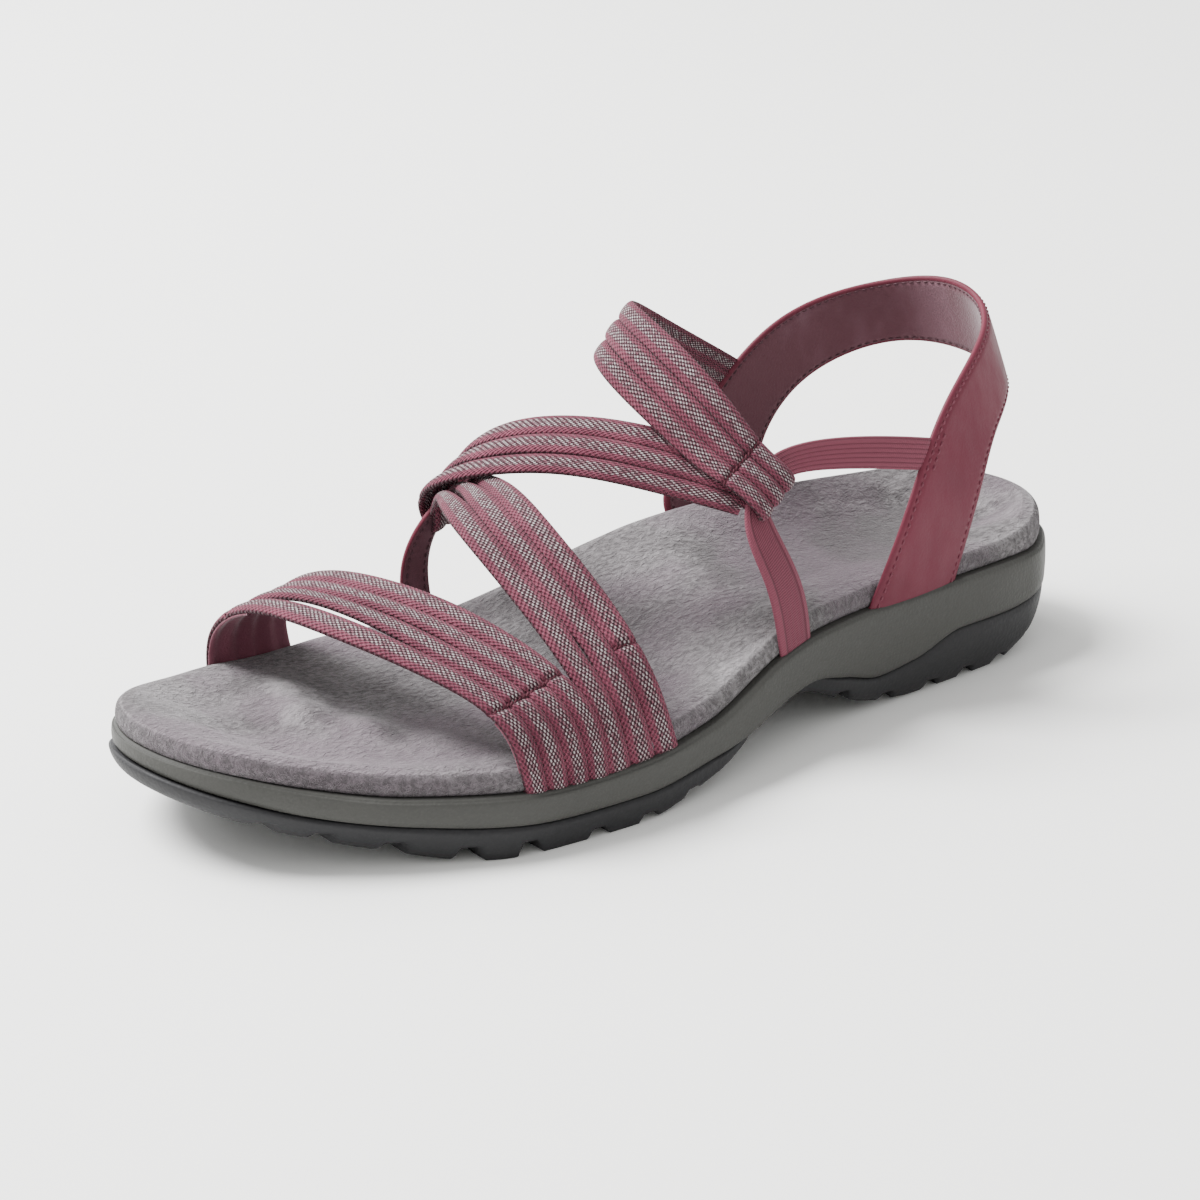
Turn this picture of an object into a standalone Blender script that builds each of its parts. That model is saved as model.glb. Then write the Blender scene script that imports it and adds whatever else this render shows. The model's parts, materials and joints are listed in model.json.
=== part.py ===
"""Left walking sandal with woven elastic straps, built in metres, toe towards -Y, lateral side +X."""
import bpy
import numpy as np

MM = 0.001
LENGTH = 256.0
HALF = LENGTH / 2.0
CENTRE_X = 1.25
GAP = 0.3
RING = 96
BED_COLUMNS = 8

# Sole plan, a row per section. Columns: share of the length from the toe, lateral x, medial x.
PLAN = (
    (0.00, -8.0, -8.0),
    (0.03, 14.5, -28.5),
    (0.09, 29.0, -40.5),
    (0.17, 41.0, -47.5),
    (0.27, 50.0, -48.8),
    (0.37, 51.3, -44.0),
    (0.47, 47.6, -38.8),
    (0.58, 40.0, -35.2),
    (0.70, 35.0, -33.0),
    (0.82, 33.3, -31.0),
    (0.91, 30.3, -28.0),
    (0.97, 19.3, -19.0),
    (1.00, 0.0, 0.0),
)

# Heights along the sole. Columns: y, rim lateral, rim medial, parting lateral, parting medial.
SIDE = (
    (-128, 24.6, 24.6, 20.3, 20.3),
    (-118, 22.6, 22.3, 17.2, 16.2),
    (-105, 19.5, 18.9, 13.5, 13.2),
    (-90, 16.7, 16.4, 10.6, 10.9),
    (-70, 15.0, 14.6, 8.4, 8.5),
    (-50, 13.9, 15.2, 7.3, 7.9),
    (-30, 14.6, 15.8, 7.2, 8.2),
    (-10, 16.5, 20.2, 8.4, 9.8),
    (4, 20.2, 24.4, 9.7, 12.2),
    (16, 23.6, 26.6, 12.4, 14.5),
    (28, 25.7, 27.9, 14.5, 15.2),
    (40, 26.2, 28.2, 11.9, 12.2),
    (52, 26.4, 28.3, 8.8, 9.2),
    (64, 26.5, 28.2, 10.0, 10.2),
    (80, 26.9, 27.6, 14.2, 14.0),
    (96, 26.8, 26.8, 14.0, 14.0),
    (112, 26.6, 26.4, 14.9, 14.9),
    (128, 26.0, 26.0, 14.6, 14.6),
)

# Ground side of the outsole: toe spring, two flats, waist and rolled heel. Columns: y, z, waist draw-in.
TREAD = (
    (-128, 16.6, 0.0),
    (-118, 12.0, 0.0),
    (-105, 6.8, 0.0),
    (-90, 2.8, 0.0),
    (-76, 0.5, 0.0),
    (-66, 0.0, 0.0),
    (-32, 0.0, 0.0),
    (-20, 1.6, 0.0),
    (-8, 4.2, 0.0),
    (4, 7.0, 1.5),
    (16, 9.8, 6.0),
    (28, 10.4, 4.0),
    (40, 5.2, 0.5),
    (48, 1.6, 0.0),
    (54, 0.0, 0.0),
    (98, 0.0, 0.0),
    (108, 2.4, 0.0),
    (118, 5.4, 0.0),
    (128, 8.6, 0.0),
)

# Side walls from the bottom up. Columns: inset from the plan, share of the waist draw-in taken up,
# share of the wall height, added height.
OUTSOLE_WALL = (
    (3.4, 1.0, 0.0, 0.0),
    (1.7, 1.0, 0.2, 0.0),
    (0.7, 1.0, 0.5, 0.0),
    (0.6, 1.0, 0.76, 0.0),
    (1.8, 1.0, 1.0, -GAP),
)
MIDSOLE_WALL = (
    (1.8, 1.0, 0.0, 0.0),
    (1.2, 0.0, 0.0, 0.2),
    (0.3, 0.0, 0.0, 1.3),
    (0.0, 0.0, 0.45, 0.0),
    (0.15, 0.0, 0.8, 0.0),
    (0.6, 0.0, 1.0, -0.6),
    (1.3, 0.0, 1.0, 0.0),
    (4.8, 0.0, 1.0, 0.0),
)
BED_WALL = (
    (4.8, 0.0, 0.0, GAP),
    (4.5, 0.0, 0.0, 1.6),
    (4.8, 0.0, 0.0, 3.4),
    (5.9, 0.0, 0.0, 4.7),
    (7.6, 0.0, 0.0, 5.1),
)

# Footbed hollows and swells. Columns: x, y, spread x, spread y, height added to the bed.
BED_SHAPE = (
    (1, 78, 20, 42, -2.6),
    (-22, 18, 14, 34, 2.4),
    (2, -48, 30, 30, -1.8),
    (0, -84, 34, 9, 0.9),
    (-6, -108, 22, 13, -1.2),
)

# Notches between the lugs. Columns: y at the middle, width, depth.
NOTCHES = (
    (-103.0, 2.8, 2.2),
    (-90.0, 3.2, 2.4),
    (-75.5, 3.2, 2.6),
    (-62.5, 3.2, 2.6),
    (-45.0, 3.2, 2.6),
    (-31.0, 3.2, 2.6),
    (-17.0, 3.0, 2.2),
    (39.6, 2.8, 2.2),
    (55.0, 3.0, 2.6),
    (70.5, 3.0, 2.6),
    (83.0, 3.0, 2.6),
    (95.4, 3.0, 2.6),
)

# Strap sections over the last. Columns: front edge x, y, z, rear edge x, y, z.
TOE_STRAP = (
    (43.2, -65.4, 28.5, 45.5, -43.3, 29.5),
    (25.0, -73.0, 37.0, 24.0, -51.5, 42.5),
    (-2.0, -82.5, 41.5, -6.0, -58.5, 46.0),
    (-29.0, -86.0, 38.5, -35.0, -62.5, 40.0),
    (-43.0, -86.5, 28.0, -47.0, -63.5, 28.0),
)
DIAGONAL_STRAP = (
    (45.0, -43.9, 28.5, 44.7, -24.6, 30.9),
    (24.2, -45.7, 44.8, 31.5, -27.0, 45.7),
    (-1.5, -44.7, 55.8, 9.9, -27.5, 57.7),
    (-19.5, -37.7, 56.0, -12.7, -22.8, 60.4),
    (-33.0, -29.8, 51.6, -32.6, -18.2, 55.0),
    (-40.0, -26.5, 44.5, -40.0, -16.5, 48.5),
)
CROSS_STRAP = (
    (-41.0, -27.5, 46.5, -41.0, -15.0, 52.0),
    (-32.0, -29.5, 56.0, -33.0, -12.5, 65.5),
    (-8.0, -19.0, 63.4, -8.8, -3.2, 73.8),
    (13.3, -3.8, 61.9, 14.1, 8.9, 72.6),
    (27.5, 8.5, 57.5, 26.0, 20.5, 67.5),
)
INSTEP_STRAP = (
    (30.0, 13.5, 59.0, 28.5, 25.0, 67.0),
    (22.4, 7.2, 65.9, 21.0, 18.9, 77.1),
    (7.9, 1.2, 76.0, 4.9, 16.9, 87.8),
    (-12.3, 2.1, 84.4, -23.2, 22.0, 93.3),
    (-29.0, 24.0, 77.0, -35.5, 41.0, 83.2),
    (-36.3, 57.5, 58.5, -36.9, 66.6, 67.6),
    (-36.5, 65.0, 53.0, -36.9, 75.0, 61.5),
)
HEEL_STRAP = (
    (34.4, 57.8, 48.0, 31.6, 84.2, 46.5),
    (28.4, 74.6, 70.0, 25.4, 94.9, 59.0),
    (14.2, 100.4, 83.2, 12.9, 110.0, 65.0),
    (-11.0, 112.0, 86.5, -9.1, 117.6, 66.9),
    (-30.3, 103.6, 82.5, -28.6, 110.3, 66.2),
    (-39.4, 79.0, 74.0, -39.0, 88.2, 56.8),
    (-39.4, 53.5, 52.5, -37.6, 73.6, 40.8),
    (-34.8, 40.4, 36.0, -33.0, 71.5, 33.6),
)
ELASTIC = (
    (37.5, 13.0, 42.0, 35.5, 24.0, 42.0),
    (31.5, 11.5, 56.0, 30.5, 18.8, 57.5),
    (27.0, 18.5, 65.0, 27.8, 23.0, 60.5),
    (25.0, 29.0, 68.5, 26.3, 30.5, 62.0),
    (28.1, 46.9, 68.5, 30.4, 48.0, 60.9),
    (28.8, 65.8, 65.0, 29.8, 64.3, 57.5),
    (26.4, 77.6, 61.2, 27.2, 76.8, 53.8),
)
SIDE_STRIP = (
    (-43.0, -33.0, 32.0, -42.5, -25.5, 31.0),
    (-40.0, -29.0, 44.5, -40.5, -23.5, 42.0),
    (-38.5, -21.5, 51.5, -40.0, -18.0, 45.5),
    (-39.0, -13.0, 53.0, -40.5, -12.5, 45.3),
    (-37.5, 3.0, 42.0, -38.3, -2.0, 36.0),
)

# Where straps leave the rim. Columns: side (1 lateral, -1 medial), front y, rear y, height off the shelf.
TOE_BASES = ((1, -62.2, -40.9, 0.4), (-1, -86.1, -61.6, 0.4))
DIAGONAL_BASE = (1, -41.7, -20.6, 0.4)
HEEL_BASES = ((1, 48.7, 77.5, 0.5), (-1, 43.0, 71.0, 0.9))
ELASTIC_BASE = (1, 17.0, 27.6, 0.5)
STRIP_BASES = ((-1, -32.5, -24.6, 0.5), (-1, 16.8, 6.3, 0.5))
BASE_INSET = 2.3

# Open slits between strips. Columns: strap, share across, start and end along the strap, widest gap.
SLITS = (
    ("toe", 0.25, 0.36, 0.78, 1.5),
    ("toe", 0.50, 0.28, 0.72, 1.5),
    ("toe", 0.75, 0.46, 0.74, 1.1),
    ("diagonal", 0.34, 0.48, 0.86, 1.8),
    ("cross", 0.34, 0.16, 0.52, 1.4),
    ("cross", 0.66, 0.16, 0.52, 1.4),
    ("instep", 0.34, 0.60, 0.86, 1.4),
    ("instep", 0.67, 0.34, 0.84, 2.0),
)

WEAVE_WALL = 1.8
STRIP_RISE = 0.45
LEATHER_WALL = 2.2
WEBBING_WALL = 1.6
KEEPER_WALL = 1.5
# Height of the middle of the foot, which the straps bend round.
LAST_CORE = 25.0


def monotone(xs, ys, x):
    """Monotone cubic through the table, flat wherever two neighbours are equal."""
    xs = np.asarray(xs, float)
    ys = np.asarray(ys, float)
    h = np.diff(xs)
    d = np.diff(ys) / h
    m = np.zeros(len(xs))
    m[0] = d[0]
    m[-1] = d[-1]
    w1 = 2.0 * h[1:] + h[:-1]
    w2 = h[1:] + 2.0 * h[:-1]
    same = d[:-1] * d[1:] > 0.0
    safe0 = np.where(same, d[:-1], 1.0)
    safe1 = np.where(same, d[1:], 1.0)
    m[1:-1] = np.where(same, (w1 + w2) / (w1 / safe0 + w2 / safe1), 0.0)
    x = np.clip(np.asarray(x, float), xs[0], xs[-1])
    i = np.clip(np.searchsorted(xs, x) - 1, 0, len(xs) - 2)
    t = (x - xs[i]) / h[i]
    a = (1 + 2 * t) * (1 - t) ** 2 * ys[i] + t * (1 - t) ** 2 * h[i] * m[i]
    return a + t * t * (3 - 2 * t) * ys[i + 1] + t * t * (t - 1) * h[i] * m[i + 1]


def spline(rows, count):
    """Natural cubic through the rows, sampled evenly along a root-chord spacing."""
    p = np.array(rows, float)
    s = np.r_[0.0, np.cumsum(np.linalg.norm(np.diff(p, axis=0), axis=1) ** 0.5)]
    h = np.diff(s)
    n = len(s)
    a = np.eye(n)
    r = np.zeros_like(p)
    for i in range(1, n - 1):
        a[i, i - 1:i + 2] = (h[i - 1], 2.0 * (h[i - 1] + h[i]), h[i])
        r[i] = 6.0 * ((p[i + 1] - p[i]) / h[i] - (p[i] - p[i - 1]) / h[i - 1])
    k = np.linalg.solve(a, r)
    t = np.linspace(0.0, s[-1], count)
    i = np.clip(np.searchsorted(s, t) - 1, 0, n - 2)
    u = ((s[i + 1] - t) / h[i])[:, None]
    v = ((t - s[i]) / h[i])[:, None]
    bend = (h[i] ** 2 / 6.0)[:, None]
    return u * p[i] + v * p[i + 1] + bend * ((u ** 3 - u) * k[i] + (v ** 3 - v) * k[i + 1])


PLAN_Q = np.arccos(1.0 - 2.0 * np.array([row[0] for row in PLAN]))
SIDE_T = np.array(SIDE, float).T
TREAD_T = np.array(TREAD, float).T


def plan_x(q, side):
    """X of the sole plan at angle q from the toe, on the lateral (1) or medial (-1) side."""
    return monotone(PLAN_Q, [row[1 if side > 0 else 2] for row in PLAN], q)


def outline():
    """Closed plan of the sole: points and inward normals."""
    q = np.linspace(0.0, 2.0 * np.pi, RING, endpoint=False)
    lateral = q <= np.pi
    near = plan_x(np.where(lateral, q, 0.0), 1)
    far = plan_x(np.where(lateral, 0.0, 2 * np.pi - q), -1)
    x = np.where(lateral, near, far)
    p = np.stack([x, -HALF * np.cos(q)], -1)
    along = np.roll(p, -1, 0) - np.roll(p, 1, 0)
    normal = np.stack([-along[:, 1], along[:, 0]], -1)
    normal /= np.linalg.norm(normal, axis=1)[:, None]
    return p, normal


def level(x, y, first):
    """Height of a SIDE column pair at a plan point, ruled straight from the lateral to the medial side."""
    q = np.arccos(np.clip(-np.asarray(y, float) / HALF, -1.0, 1.0))
    lateral = plan_x(q, 1)
    width = np.maximum(lateral - plan_x(q, -1), 1.0)
    share = np.clip((lateral - x) / width, 0.0, 1.0)
    high = monotone(SIDE_T[0], SIDE_T[first], y)
    return high + (monotone(SIDE_T[0], SIDE_T[first + 1], y) - high) * share


def shelf(x, y):
    """Top of the midsole, which the footbed and the straps stand on."""
    return level(x, y, 1)


def parting(x, y):
    """Line between the midsole and the outsole."""
    return level(x, y, 3)


def tread(x, y):
    """Ground side of the outsole."""
    return monotone(TREAD_T[0], TREAD_T[1], y)


def ladder(offset, flip):
    """Faces that close a ring by rungs between its lateral and medial points."""
    half = RING // 2
    faces = [(0, 1, RING - 1)]
    for i in range(1, half - 1):
        faces += [(i, i + 1, RING - i), (i + 1, RING - i - 1, RING - i)]
    faces.append((half - 1, half, half + 1))
    faces = [tuple(offset + j for j in face) for face in faces]
    return [face[::-1] for face in faces] if flip else faces


def wall_faces(rows):
    """Quads between the stacked rings of a side wall."""
    faces = []
    for k in range(rows - 1):
        for i in range(RING):
            j = (i + 1) % RING
            faces.append((k * RING + i, k * RING + j, (k + 1) * RING + j, (k + 1) * RING + i))
    return faces


def make_object(name, points, faces, collection):
    """New mesh object from points in millimetres, shifted so the widest points are centred."""
    mesh = bpy.data.meshes.new(name)
    shifted = (np.asarray(points, float) - (CENTRE_X, 0.0, 0.0)) * MM
    mesh.from_pydata(shifted.tolist(), [], faces)
    mesh.update()
    obj = bpy.data.objects.new(name, mesh)
    collection.objects.link(obj)
    return obj


def stacked_rings(wall, low, high):
    """Points of a side wall: each row inset from the plan at its share of the height."""
    p, normal = outline()
    waist = monotone(TREAD_T[0], TREAD_T[2], p[:, 1])
    rings = []
    for inset, drawn, share, added in wall:
        xy = p + normal * (inset + drawn * waist)[:, None]
        x, y = xy.T
        z = low(x, y) + (high(x, y) - low(x, y)) * share + added
        rings.append(np.column_stack([xy, z]))
    return rings


def midsole(collection):
    """Foam body between the outsole parting line and the rim shelf."""
    rings = stacked_rings(MIDSOLE_WALL, parting, shelf)
    faces = wall_faces(len(rings)) + ladder(0, True) + ladder((len(rings) - 1) * RING, False)
    return make_object("midsole", np.vstack(rings), faces, collection)


def outsole(collection, cutters):
    """Rubber unit with toe spring, drawn-in waist, wrapped heel and notched lugs."""
    rings = stacked_rings(OUTSOLE_WALL, tread, parting)
    faces = wall_faces(len(rings)) + ladder(0, True) + ladder((len(rings) - 1) * RING, False)
    obj = make_object("outsole", np.vstack(rings), faces, collection)
    for index, (at, width, depth) in enumerate(NOTCHES):
        roof = float(tread(0.0, at)) + depth
        bpy.ops.mesh.primitive_cube_add(size=1.0, location=(0.0, at * MM, (roof - 6.0) * MM))
        box = bpy.context.object
        box.name = "notch_%d" % index
        box.scale = (0.13, width * MM, 12.0 * MM)
        move_to(box, cutters)
        combine(obj, box, "DIFFERENCE")
    return obj


def bed_height(x, y):
    """Footbed surface above the shelf: a flat bed plus the hollows and swells of BED_SHAPE."""
    h = np.full(np.shape(x), 4.6)
    for cx, cy, sx, sy, rise in BED_SHAPE:
        h = h + rise * np.exp(-((x - cx) / sx) ** 2 - ((y - cy) / sy) ** 2)
    return h


def footbed(collection):
    """Contoured bed with a rolled edge, standing on the shelf inside the straps."""
    rings = stacked_rings(BED_WALL, shelf, shelf)
    count = len(rings)
    points = list(np.vstack(rings))
    faces = wall_faces(count) + ladder(0, True)
    edge = rings[-1]
    start = (count - 1) * RING
    half = RING // 2
    columns = []
    shares = np.linspace(0.0, 1.0, BED_COLUMNS + 1)[1:-1]
    for i in range(1, half):
        a = edge[i]
        b = edge[RING - i]
        line = a + (b - a) * shares[:, None]
        blend = np.minimum(1.0, np.minimum(shares, 1.0 - shares) * 3.2)
        blend = blend * min(1.0, i / 5.0, (half - i) / 5.0)
        floor = shelf(line[:, 0], line[:, 1]) + bed_height(line[:, 0], line[:, 1])
        line[:, 2] = line[:, 2] * (1 - blend) + floor * blend
        columns.append([start + i] + list(range(len(points), len(points) + len(shares))) + [start + RING - i])
        points.extend(line)
    for a, b in zip(columns[:-1], columns[1:]):
        faces += [(a[k], b[k], b[k + 1], a[k + 1]) for k in range(len(a) - 1)]
    faces.append(tuple([start] + columns[0]))
    faces.append(tuple([start + half] + columns[-1][::-1]))
    return make_object("footbed", points, faces, collection)


def base_row(base):
    """Strap section standing on the rim shelf, from its side and its two y positions."""
    side, front, rear, lift = base
    row = []
    for y in (front, rear):
        q = np.arccos(np.clip(-y / HALF, -1.0, 1.0))
        x = float(plan_x(q, side)) - side * BASE_INSET
        row += [x, y, float(shelf(x, y)) + lift]
    return tuple(row)


def strap_rows():
    """Full section rows of every strap, bases included."""
    return {
        "toe": (base_row(TOE_BASES[0]),) + TOE_STRAP + (base_row(TOE_BASES[1]),),
        "diagonal": (base_row(DIAGONAL_BASE),) + DIAGONAL_STRAP,
        "cross": CROSS_STRAP,
        "instep": INSTEP_STRAP,
        "heel": (base_row(HEEL_BASES[0]),) + HEEL_STRAP + (base_row(HEEL_BASES[1]),),
        "elastic": (base_row(ELASTIC_BASE),) + ELASTIC,
        "strip": (base_row(STRIP_BASES[0]),) + SIDE_STRIP + (base_row(STRIP_BASES[1]),),
    }


def ribbon_grid(rows, stations, shares, grow=0.0, lift=None):
    """Grid of points between the two edges of a strap; grow widens it, lift raises columns outward."""
    edges = spline(rows, stations)
    front = edges[:, :3]
    rear = edges[:, 3:]
    across = rear - front
    across /= np.linalg.norm(across, axis=1)[:, None]
    front = front - across * grow
    rear = rear + across * grow
    middle = (front + rear) / 2.0
    out = np.cross(np.gradient(middle, axis=0), across)
    out /= np.linalg.norm(out, axis=1)[:, None]
    if np.sum(out * (middle * (1.0, 0.0, 1.0) - (0.0, 0.0, LAST_CORE))) < 0.0:
        out = -out
    grid = front[:, None] + (rear - front)[:, None] * np.asarray(shares)[None, :, None]
    if lift is not None:
        grid = grid + out[:, None] * np.asarray(lift)[None, :, None]
    return grid


def grid_object(name, grid, wall, collection):
    """Sheet through a grid of points, given its wall by Solidify."""
    rows, columns = grid.shape[:2]
    faces = []
    for i in range(rows - 1):
        for j in range(columns - 1):
            k = i * columns + j
            faces.append((k, k + columns, k + columns + 1, k + 1))
    obj = make_object(name, grid.reshape(-1, 3), faces, collection)
    solid = obj.modifiers.new("wall", "SOLIDIFY")
    solid.thickness = wall * MM
    solid.offset = 0.0
    return obj


def strip_columns(count):
    """Shares across and lifts of a wall whose strips stand proud of the grooves between them."""
    shares = [0.0]
    lifts = [0.0]
    for k in range(count):
        shares += [(k + 0.16) / count, (k + 0.84) / count]
        lifts += [STRIP_RISE, STRIP_RISE]
        shares.append((k + 1.0) / count)
        lifts.append(0.0)
    return shares, lifts


def woven(name, rows, count, stations, collection):
    """Woven strap: one wall with raised strips."""
    shares, lifts = strip_columns(count)
    return grid_object(name, ribbon_grid(rows, stations, shares, 0.0, lifts), WEAVE_WALL, collection)


def slit(index, rows, share, start, end, gap, collection):
    """Lens-shaped cutter along a strap at one share of its width."""
    grid = ribbon_grid(rows, 81, (share - 0.02, share, share + 0.02))
    first = int(round(start * 80))
    last = int(round(end * 80))
    part = grid[first:last + 1:2]
    mid = part[:, 1:2]
    way = part[:, 2:3] - part[:, 0:1]
    way /= np.linalg.norm(way, axis=2)[:, :, None]
    swell = np.sin(np.linspace(0.04, np.pi - 0.04, len(part)))[:, None, None]
    lens = np.concatenate([mid - way * swell * gap / 2, mid + way * swell * gap / 2], 1)
    return grid_object("slit_%d" % index, lens, 8.0, collection)


def keeper(name, rows, start, end, collection):
    """Sleeve blank round a webbing between two shares of its length."""
    grid = ribbon_grid(rows, 61, (0.0, 0.5, 1.0), KEEPER_WALL + GAP)
    part = grid[int(round(start * 60)):int(round(end * 60)) + 1:2]
    return grid_object(name, part, WEBBING_WALL + 2 * (KEEPER_WALL + GAP), collection)


def clearance(name, rows, stations, wall, collection):
    """Cutter that keeps a hairline of air round a strap."""
    grid = ribbon_grid(rows, stations, (0.0, 0.5, 1.0), GAP)
    return grid_object(name, grid, wall + 2 * GAP, collection)


def combine(obj, other, operation):
    """Exact Boolean of one object with another."""
    mod = obj.modifiers.new(other.name, "BOOLEAN")
    mod.operation = operation
    mod.solver = "EXACT"
    mod.object = other


def move_to(obj, collection):
    """Put an object into one collection only."""
    for user in list(obj.users_collection):
        user.objects.unlink(obj)
    collection.objects.link(obj)


def finish(obj, colour, roughness):
    """Give an object its own material."""
    mat = bpy.data.materials.new(obj.name)
    mat.use_nodes = True
    node = mat.node_tree.nodes["Principled BSDF"]
    node.inputs["Base Color"].default_value = (*colour, 1.0)
    node.inputs["Roughness"].default_value = roughness
    mat.diffuse_color = (*colour, 1.0)
    obj.data.materials.clear()
    obj.data.materials.append(mat)


def build():
    """Clear the scene and build every piece of the sandal."""
    for old in list(bpy.data.objects):
        bpy.data.objects.remove(old, do_unlink=True)
    parts = bpy.data.collections.new("sandal")
    cutters = bpy.data.collections.new("sandal_cutters")
    for collection in (parts, cutters):
        bpy.context.scene.collection.children.link(collection)
    rows = strap_rows()

    sole = outsole(parts, cutters)
    foam = midsole(parts)
    bed = footbed(parts)
    shares = (0.0, 1.0 / 3.0, 2.0 / 3.0, 1.0)
    heel = grid_object("heel_strap", ribbon_grid(rows["heel"], 33, shares), LEATHER_WALL, parts)
    shares = (0.0, 0.5, 1.0)
    elastic = grid_object("elastic_webbing", ribbon_grid(rows["elastic"], 31, shares), WEBBING_WALL, parts)
    strip = grid_object("side_strip", ribbon_grid(rows["strip"], 29, shares), WEBBING_WALL, parts)

    upper = woven("upper", rows["toe"], 4, 21, parts)
    joined = [
        woven("diagonal", rows["diagonal"], 3, 17, cutters),
        woven("cross", rows["cross"], 3, 15, cutters),
        woven("instep", rows["instep"], 3, 19, cutters),
        keeper("keeper_lateral", rows["elastic"], 0.36, 0.56, cutters),
        keeper("keeper_medial", rows["strip"], 0.36, 0.58, cutters),
    ]
    for other in joined:
        combine(upper, other, "UNION")
    for index, (strap, share, start, end, gap) in enumerate(SLITS):
        combine(upper, slit(index, rows[strap], share, start, end, gap, cutters), "DIFFERENCE")
    combine(upper, clearance("air_elastic", rows["elastic"], 31, WEBBING_WALL, cutters), "DIFFERENCE")
    combine(upper, clearance("air_strip", rows["strip"], 29, WEBBING_WALL, cutters), "DIFFERENCE")

    finish(sole, (0.055, 0.056, 0.066), 0.6)
    finish(foam, (0.20, 0.205, 0.19), 0.65)
    finish(bed, (0.33, 0.31, 0.32), 0.95)
    finish(upper, (0.36, 0.12, 0.17), 0.85)
    finish(heel, (0.35, 0.11, 0.16), 0.55)
    finish(elastic, (0.33, 0.11, 0.16), 0.85)
    finish(strip, (0.36, 0.12, 0.17), 0.55)
    cutters.hide_render = True
    for obj in cutters.objects:
        obj.hide_render = True
        obj.display_type = "WIRE"


build()
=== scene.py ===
"""Looks of a left walking sandal: moulded sole, suede bed, woven elastic straps and a leather heel sling.

Every shape is worked out in millimetres, toe towards -Y and lateral side towards +X, and put into metres
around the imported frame.
"""
from __future__ import annotations

import json
import logging
from dataclasses import dataclass, field
from enum import Enum
from typing import Callable, Sequence

import bpy
import numpy as np
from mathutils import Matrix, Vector

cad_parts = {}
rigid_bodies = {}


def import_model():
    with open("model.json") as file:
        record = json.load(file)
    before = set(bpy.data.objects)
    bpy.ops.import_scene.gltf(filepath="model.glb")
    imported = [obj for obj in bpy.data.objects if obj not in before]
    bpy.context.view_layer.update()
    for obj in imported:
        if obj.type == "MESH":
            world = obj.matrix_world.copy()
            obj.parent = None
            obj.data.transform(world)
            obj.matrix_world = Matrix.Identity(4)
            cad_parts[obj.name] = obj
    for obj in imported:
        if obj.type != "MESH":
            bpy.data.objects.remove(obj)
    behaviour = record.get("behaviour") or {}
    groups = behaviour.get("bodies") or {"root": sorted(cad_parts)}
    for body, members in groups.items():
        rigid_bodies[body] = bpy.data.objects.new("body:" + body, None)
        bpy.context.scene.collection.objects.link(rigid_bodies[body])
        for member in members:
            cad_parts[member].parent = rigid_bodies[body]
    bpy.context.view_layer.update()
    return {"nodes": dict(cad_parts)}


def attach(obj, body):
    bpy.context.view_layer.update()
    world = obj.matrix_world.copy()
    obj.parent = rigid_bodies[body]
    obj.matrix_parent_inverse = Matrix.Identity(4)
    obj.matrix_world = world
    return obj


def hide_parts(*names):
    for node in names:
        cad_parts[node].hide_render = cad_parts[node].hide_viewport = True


LOG = logging.getLogger("sandal")
MM = 0.001
# Middle of the plan's x range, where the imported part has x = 0.
CENTRE_X = 1.25
BODY = "root"

Array = np.ndarray
Colour = tuple[float, float, float]
Place = tuple[float, float, float]
Table = tuple[tuple[float, ...], ...]
Material = bpy.types.Material
Piece = bpy.types.Object
Socket = bpy.types.NodeSocket


class Side(Enum):
    """Side of the shoe, as the sign of x."""

    LATERAL = 1
    MEDIAL = -1


def unit(vectors: Array) -> Array:
    """Vectors divided by their lengths along the last axis."""
    return vectors / np.linalg.norm(vectors, axis=-1, keepdims=True)


def smoothstep(low: float, high: float, x: Array) -> Array:
    """Soft step, 3s^2 - 2s^3 of the share s of x between low and high."""
    s = np.clip((x - low) / (high - low), 0.0, 1.0)
    return s * s * (3.0 - 2.0 * s)


def run_length(line: Array) -> Array:
    """Length along a line of points, from zero at its start."""
    return np.r_[0.0, np.cumsum(np.linalg.norm(np.diff(line, axis=0), axis=1))]


def read_along(at: Array, run: Array, points: Array) -> Array:
    """Points read at places along their run, straight from one to the next."""
    return np.stack([np.interp(at, run, points[:, k]) for k in range(3)], -1)


def monotone(xs: Sequence[float], ys: Sequence[float], x: Array) -> Array:
    """Monotone cubic through a table: Hermite pieces whose slopes are weighted harmonic means.

    Args:
        xs: rising table positions.
        ys: table values.
        x: where to read the curve.

    Returns:
        The curve's values, flat wherever two neighbours are equal.
    """
    xs = np.asarray(xs, float)
    ys = np.asarray(ys, float)
    h = np.diff(xs)
    d = np.diff(ys) / h
    m = np.zeros(len(xs))
    m[0] = d[0]
    m[-1] = d[-1]
    w1 = 2.0 * h[1:] + h[:-1]
    w2 = h[1:] + 2.0 * h[:-1]
    same = d[:-1] * d[1:] > 0.0
    safe0 = np.where(same, d[:-1], 1.0)
    safe1 = np.where(same, d[1:], 1.0)
    m[1:-1] = np.where(same, (w1 + w2) / (w1 / safe0 + w2 / safe1), 0.0)
    x = np.clip(np.asarray(x, float), xs[0], xs[-1])
    i = np.clip(np.searchsorted(xs, x) - 1, 0, len(xs) - 2)
    t = (x - xs[i]) / h[i]
    first = (1 + 2 * t) * (1 - t) ** 2 * ys[i] + t * (1 - t) ** 2 * h[i] * m[i]
    return first + t * t * (3 - 2 * t) * ys[i + 1] + t * t * (t - 1) * h[i] * m[i + 1]


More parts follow.
